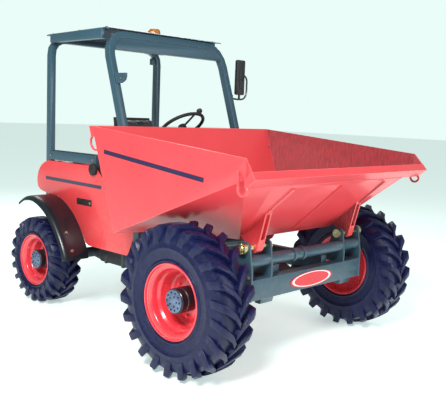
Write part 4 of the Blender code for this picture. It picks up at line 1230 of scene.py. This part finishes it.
# ---------------------------------------------------------------- driver's place
@dataclass
class DrivingPlace:
    """Steering wheel, console, levers and seat."""

    middle: float = 0.080
    spinner_angle: float = math.radians(118)
    spoke_angles: tuple[int, ...] = (90, 210, 330)
    sewn_channel: float = 0.120
    channel_depth: float = 0.007
    overhang: float = 0.004
    cloth_steps: int = 20
    wheel_centre: tuple[float, float] = (1.140, 1.520)
    tilt: float = math.radians(55)
    rim_radius: float = 0.185
    rim_half: float = 0.014
    voxel: float = 0.0075
    pressure: float = 4.0
    swell: float = 0.018

    def build(self) -> None:
        """Builds everything within the driver's reach."""
        self.steering()
        self.console()
        self.levers()
        self.seat()

    def steering(self) -> None:
        """Builds the steering wheel with grips, spokes and spinner knob, and the column's gaiter."""
        axis = Vector((0, math.cos(self.tilt), math.sin(self.tilt)))
        centre = Vector((self.middle, aft(self.wheel_centre[0]), self.wheel_centre[1]))
        place = facing(centre, axis)
        rim, spokes, knob = Workpiece(), Workpiece(), Workpiece()
        section = [(self.rim_radius + self.rim_half * math.cos(a), self.rim_half * math.sin(a))
            for a in (math.tau * k / 16 for k in range(16))]
        rim.lathe(section, place, 120, ring=True)
        inverse = place.inverted()
        for vert in rim.bm.verts:
            spot = inverse @ vert.co
            around = math.atan2(spot.y, spot.x)
            ring = Vector((math.cos(around), math.sin(around), 0)) * self.rim_radius
            swell = 1.0 - 0.07 * max(0.0, math.cos(around * 40))
            vert.co = place @ (ring + (spot - ring) * swell)
        rim.piece("steering_wheel_rim", Coat.SOFT, Body.STEERING_WHEEL, ("steering_wheel",))
        spokes.lathe([(0, 0.013), (0.022, 0.013), (0.030, 0.009), (0.034, 0.002), (0.034, -0.024),
            (0.028, -0.0295), (0, -0.0295)], place, 40)
        for angle in self.spoke_angles:
            a = math.radians(angle)
            tip = place @ Vector((math.cos(a) * 0.180, math.sin(a) * 0.180, 0))
            mid = place @ Vector((math.cos(a) * 0.100, math.sin(a) * 0.100, -0.006))
            spokes.tube([tuple(centre - axis * 0.010), tuple(mid), tuple(tip)], 0.0085)
        spokes.piece("steering_wheel_spokes", Coat.POWDER, Body.STEERING_WHEEL)
        ahead = Vector((0, -math.sin(self.tilt), math.cos(self.tilt)))
        spot = centre + self.rim_radius * (Vector((-math.cos(self.spinner_angle), 0, 0)) + ahead
            * math.sin(self.spinner_angle))
        knob.lathe([(0, -0.004), (0.008, -0.004), (0.008, 0.026), (0.018, 0.028), (0.023, 0.036),
            (0.024, 0.046), (0.021, 0.056), (0.013, 0.061), (0, 0.062)], facing(spot, axis), 32)
        knob.piece("spinner_knob", Coat.ABS, Body.STEERING_WHEEL)
        gaiter = Workpiece()
        foot = centre - axis * 0.385
        folds = [(0.058 - 0.0035 * k + (0.006 if k % 2 else 0.0), 0.012 * k) for k in range(9)]
        gaiter.lathe([(0, 0)] + folds + [(0, folds[-1][1])], facing(foot, axis), 48)
        gaiter.piece("column_gaiter", Coat.SOFT)
        dress(Coat.POWDER, "steering_column")

    def console(self) -> None:
        """Fits the gauges, switches, key and warning lamps to the console's sloping top."""
        dress(Coat.ABS, "console")
        a, b = Vector((self.middle, aft(1.120), 1.120)), Vector((self.middle, aft(1.060), 1.195))
        out = Vector((0, 0.7809, 0.6247))
        face = Matrix.Translation((a + b) / 2) @ Matrix(((1, 0, 0, 0), (0, -0.6247, out.y, 0),
            (0, 0.7809, out.z, 0), (0, 0, 0, 1)))
        bezel, dial, glass, key = Workpiece(), Workpiece(), Workpiece(), Workpiece()
        bezel.block((-0.150, -0.036, -0.004), (0.150, 0.036, 0.003), 0.003, 2, face)
        for x in (-0.108, 0.108):
            spot = face @ Matrix.Translation((x, 0, 0.002))
            bezel.lathe([(0.024, 0.0), (0.029, 0.0), (0.029, 0.006), (0.026, 0.008),
                (0.024, 0.006)], spot, 40, True)
            dial.lathe([(0, 0.0016), (0.024, 0.0016), (0.024, 0.0), (0, 0.0)], spot, 40)
            for k in range(9):
                tick = spot @ Matrix.Rotation(math.radians(-120 + 30 * k), 4, "Z")
                bezel.block((-0.0006, 0.017, 0.0014), (0.0006, 0.022, 0.0020), 0.0, 1, tick)
            bezel.block((-0.0009, -0.004, 0.002), (0.0009, 0.017, 0.003), 0.0, 1,
                spot @ Matrix.Rotation(math.radians(50 if x > 0 else -35), 4, "Z"))
            glass.lathe([(0, 0.0062), (0.016, 0.0058), (0.024, 0.0048), (0.024, 0.0038),
                (0, 0.0045)], spot, 40)
        for k in range(4):
            x = -0.045 + 0.030 * k
            place = face @ Matrix.Translation((x, 0.012, 0.003)) @ Matrix.Rotation(math.radians(9),
                4, "X")
            bezel.block((-0.010, -0.016, -0.003), (0.010, 0.016, 0.006), 0.002, 2, place)
        for k in range(3):
            bezel.lathe([(0, 0.004), (0.004, 0.004), (0.0055, 0.0015), (0.0055, 0), (0, 0)],
                face @ Matrix.Translation((-0.045 + 0.022 * k, -0.022, 0.003)), 20)
        key.lathe([(0, 0.008), (0.008, 0.008), (0.011, 0.005), (0.011, 0.0), (0, 0.0)],
            face @ Matrix.Translation((0.045, -0.020, 0.003)), 24)
        key.block((0.043, -0.030, 0.008), (0.047, -0.010, 0.026), 0.001, 1, face)
        bezel.piece("gauge_panel", Coat.SOFT)
        dial.piece("gauge_dials", Coat.DIAL)
        glass.piece("gauge_glasses", Coat.GLASS)
        key.piece("ignition_key", Coat.ZINC)

    def levers(self) -> None:
        """Builds the tipping lever with its rubber boot, and the direction switch on the column."""
        low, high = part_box("tip_lever")
        foot, top = Vector((0.290, aft(1.255), low.z)), Vector((0.290, aft(1.2345), high.z))
        axis = (top - foot).normalized()
        stick, soft = Workpiece(), Workpiece()
        stick.bar(foot + axis * 0.01, top - axis * 0.03, 0.0085, sides=20)
        folds = [(0.034 - 0.0022 * k + (0.0 if k % 2 else 0.004), 0.001 + 0.009 * k)
            for k in range(9)]
        soft.lathe([(0, 0.001)] + folds + [(0, folds[-1][1])], facing(foot, axis), 40)
        soft.lathe([(0, -0.050), (0.011, -0.050), (0.017, -0.040), (0.022, -0.022), (0.021, -0.008),
            (0.013, -0.001), (0, 0.0)], facing(top, axis), 32)
        stick.piece("tipping_lever", Coat.ZINC, Body.CHASSIS, ("tip_lever",))
        soft.piece("tipping_lever_boot", Coat.SOFT)
        axis = Vector((0, math.cos(self.tilt), math.sin(self.tilt)))
        root = Vector((self.middle, aft(self.wheel_centre[0]), self.wheel_centre[1])) - axis * 0.105
        switch = Workpiece()
        switch.bar(root, root + Vector((-0.105, 0, 0)) + axis * 0.014, 0.0055, 0.0045, 16)
        switch.bar(root + Vector((-0.100, 0, 0)) + axis * 0.013, root + Vector((-0.138, 0, 0))
            + axis * 0.018, 0.009, 0.0075, 20, 0.002)
        switch.piece("direction_switch", Coat.SOFT)

    def seat(self) -> None:
        """Builds the seat: concertina, moulded pan, two stuffed vinyl pads and the back's shell."""
        base = Workpiece()
        for k in range(4):
            grow = 0.006 if k % 2 else -0.004
            base.block((self.middle - 0.170 - grow, aft(1.375) - grow, 1.1005 + 0.010 * k),
                (self.middle + 0.170 + grow, aft(1.690) + grow, 1.1130 + 0.010 * k), 0.004)
        base.piece("seat_concertina", Coat.SOFT)
        pan = Workpiece()
        pan.block((self.middle - 0.226, aft(1.306), 1.138), (self.middle + 0.226, aft(1.736),
            1.160), 0.009, 3)
        pan.piece("seat_pan", Coat.ABS)
        cushion = Workpiece()
        cushion.block((self.middle - 0.212, aft(1.318), 1.158), (self.middle + 0.212, aft(1.722),
            1.228), 0.030, 4)
        self.stuffed(cushion, "seat_cushion_pad", "seat_cushion",
            lambda p: abs(abs(p.x - self.middle) - self.sewn_channel), lambda p: p.z > 1.20)
        lean = Matrix.Translation((self.middle, aft(1.703),
            1.266)) @ Matrix.Rotation(math.radians(-9), 4, "X")
        rest = Workpiece()
        rest.block((-0.204, -0.026, 0.008), (0.204, 0.030, 0.328), 0.026, 4, lean)
        for vert in rest.bm.verts:
            spot = lean.inverted() @ vert.co
            # The back wraps forwards at its sides and narrows to rounded shoulders.
            spot.y -= 0.55 * spot.x * spot.x
            spot.z -= 0.045 * (abs(spot.x) / 0.204) ** 3 * max(0.0, (spot.z - 0.18) / 0.148)
            spot.x *= 1.0 - 0.16 * max(0.0, (spot.z - 0.16) / 0.16) ** 2
            vert.co = lean @ spot
        self.stuffed(rest, "seat_back_pad", "seat_back",
            lambda p: abs((lean.inverted() @ p).z - 0.165), lambda p: (lean.inverted() @ p).y < 0.0)
        shell = Workpiece()
        shell.block((-0.200, 0.034, 0.000), (0.200, 0.046, 0.315), 0.005, 2, lean)
        shell.block((-0.110, 0.040, -0.100), (0.110, 0.050, 0.060), 0.004, 2, lean)
        shell.piece("seat_back_shell", Coat.ABS)

    def stuffed(self, work: Workpiece, name: str, node: str, seam: Callable[[Vector], float],
            face: Callable[[Vector], bool]) -> None:
        """Blows a block up into a stuffed pad with cloth simulation, then sews its channels.

        Args:
            work: Block that the pad starts from.
            name: Name of the pad.
            node: CAD node that it stands for.
            seam: Distance of a point from the nearest sewn channel.
            face: Whether a point is on the face that carries the channels.
        """
        pad = work.piece(name, Coat.VINYL, Body.CHASSIS, (node,), 180.0)
        remesh = pad.modifiers.new("Remesh", "REMESH")
        remesh.mode = "VOXEL"
        remesh.voxel_size = self.voxel
        remesh.use_smooth_shade = True
        self.settle(pad)
        rest = [v.co.copy() for v in pad.data.vertices]
        cloth = pad.modifiers.new("Cloth", "CLOTH")
        cloth.settings.use_pressure = True
        cloth.settings.uniform_pressure_force = self.pressure
        cloth.settings.effector_weights.gravity = 0.0
        scene = bpy.context.scene
        for step in range(1, self.cloth_steps + 1):
            scene.frame_set(step)
        self.settle(pad)
        scene.frame_set(1)
        for vert, start in zip(pad.data.vertices, rest):
            moved = vert.co - start
            if moved.length > self.swell:
                vert.co = start + moved.normalized() * self.swell
        smooth = pad.modifiers.new("Subdivision", "SUBSURF")
        smooth.levels = smooth.render_levels = 1
        self.settle(pad)
        low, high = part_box(node)
        for vert, normal in zip(pad.data.vertices, [v.normal.copy() for v in pad.data.vertices]):
            if face(vert.co):
                vert.co -= normal * self.channel_depth * math.exp(-((seam(vert.co) / self.channel_depth) ** 2))
            for i in range(3):
                vert.co[i] = min(max(vert.co[i], low[i] - self.overhang), high[i] + self.overhang)
        pad.data.update()
        pad.data.shade_smooth()

    def settle(self, pad: bpy.types.Object) -> None:
        """Applies the pad's modifiers to its mesh, so that none is left on it."""
        shaped = pad.evaluated_get(bpy.context.evaluated_depsgraph_get())
        mesh = bpy.data.meshes.new_from_object(shaped)
        old = pad.data
        pad.modifiers.clear()
        pad.data = mesh
        mesh.name = pad.name
        if not mesh.materials:
            mesh.materials.append(Coat.VINYL.material())
        bpy.data.meshes.remove(old)


# ---------------------------------------------------------------- studio
@dataclass
class Studio:
    """Plain pale floor, soft lights and the camera."""

    camera: Point = (-3.7986, -3.9503, 1.6267)
    heading: float = 46.357
    pitch: float = -6.992
    roll: float = 2.263
    lens_mm: float = 56.05
    ambient: float = 0.32
    floor_glow: float = 0.5
    aim: Point = (0.0, -0.2, 0.8)
    lamps: tuple[tuple[str, Point, float, float], ...] = (("key", (-5.8, -3.4, 5.6), 2.4, 620.0),
        ("front", (2.5, -7.0, 3.0), 4.0, 170.0), ("rear", (3.0, 5.0, 5.0), 4.0, 150.0))

    def build(self) -> None:
        """Lays the floor, hangs the lights and sets the camera."""
        self.floor()
        self.lights()
        self.set_camera()

    def floor(self) -> None:
        """Lays a large pale floor."""
        shape = bmesh.new()
        bmesh.ops.create_grid(shape, x_segments=1, y_segments=1, size=60.0)
        mesh = bpy.data.meshes.new("floor")
        shape.to_mesh(mesh)
        shape.free()
        paper = bpy.data.materials.new("pale_studio_floor")
        paper.use_nodes = True
        shader = paper.node_tree.nodes["Principled BSDF"]
        shader.inputs["Base Color"].default_value = linear("#F4FCFA")
        shader.inputs["Roughness"].default_value = 0.9
        # A floor lit from behind, as on a product table, stays white out to the horizon.
        shader.inputs["Emission Color"].default_value = linear("#EAFDF9")
        shader.inputs["Emission Strength"].default_value = self.floor_glow
        mesh.materials.append(paper)
        floor = bpy.data.objects.new("floor", mesh)
        bpy.context.scene.collection.objects.link(floor)

    def lights(self) -> None:
        """Sets a pale world, a large key light ahead on the right and two softer fills."""
        world = bpy.data.worlds.new("studio")
        world.use_nodes = True
        tree = world.node_tree
        sky = tree.nodes["Background"]
        sky.inputs["Color"].default_value = linear("#EAFDF9")
        # The backdrop is seen at full white, while it lights the machine at less than half of that.
        seen = put(tree, "LightPath").outputs["Is Camera Ray"]
        level = put(tree, "MapRange", {0: seen, 1: 0.0, 2: 1.0, 3: self.ambient, 4: 1.0})
        tree.links.new(level.outputs[0], sky.inputs["Strength"])
        bpy.context.scene.world = world
        for name, spot, size, power in self.lamps:
            light = bpy.data.lights.new(name, "AREA")
            light.shape = "DISK"
            light.size = size
            light.energy = power
            lamp = bpy.data.objects.new(name, light)
            lamp.location = spot
            lamp.rotation_euler = (Vector(self.aim) - Vector(spot)).to_track_quat("-Z",
                "Y").to_euler()
            bpy.context.scene.collection.objects.link(lamp)

    def set_camera(self) -> None:
        """Places the camera ahead of the machine's right front wheel, at a standing eye's height."""
        data = bpy.data.cameras.new("camera")
        data.lens = self.lens_mm
        data.sensor_width = 36.0
        data.clip_end = 200.0
        camera = bpy.data.objects.new("camera", data)
        turn = (Matrix.Rotation(math.radians(-self.heading), 4, "Z")
            @ Matrix.Rotation(math.radians(90 + self.pitch), 4, "X")
            @ Matrix.Rotation(math.radians(self.roll), 4, "Z"))
        camera.matrix_world = Matrix.Translation(self.camera) @ turn
        bpy.context.scene.collection.objects.link(camera)
        bpy.context.scene.camera = camera
        bpy.context.scene.view_settings.view_transform = "Standard"


def main() -> None:
    """Builds the machine's sub-assemblies in order and writes how large the result is."""
    logging.basicConfig(level=logging.INFO, format="%(name)s: %(message)s")
    Studio().build()
    for body in (Body.FRONT_LEFT, Body.FRONT_RIGHT):
        Wheel("front", body.value.rsplit("_", 1)[1], body, lugs=22, lug_height=0.034,
            lug_width=0.060, skew=0.165).build()
    for body in (Body.REAR_LEFT, Body.REAR_RIGHT):
        Wheel("rear", body.value.rsplit("_", 1)[1], body, lugs=20, lug_height=0.028,
            lug_width=0.048, skew=0.135).build()
    Skip().build()
    Chassis().build()
    Bodywork().build()
    Canopy().build()
    DrivingPlace().build()


if __name__ == "__main__":
    main()
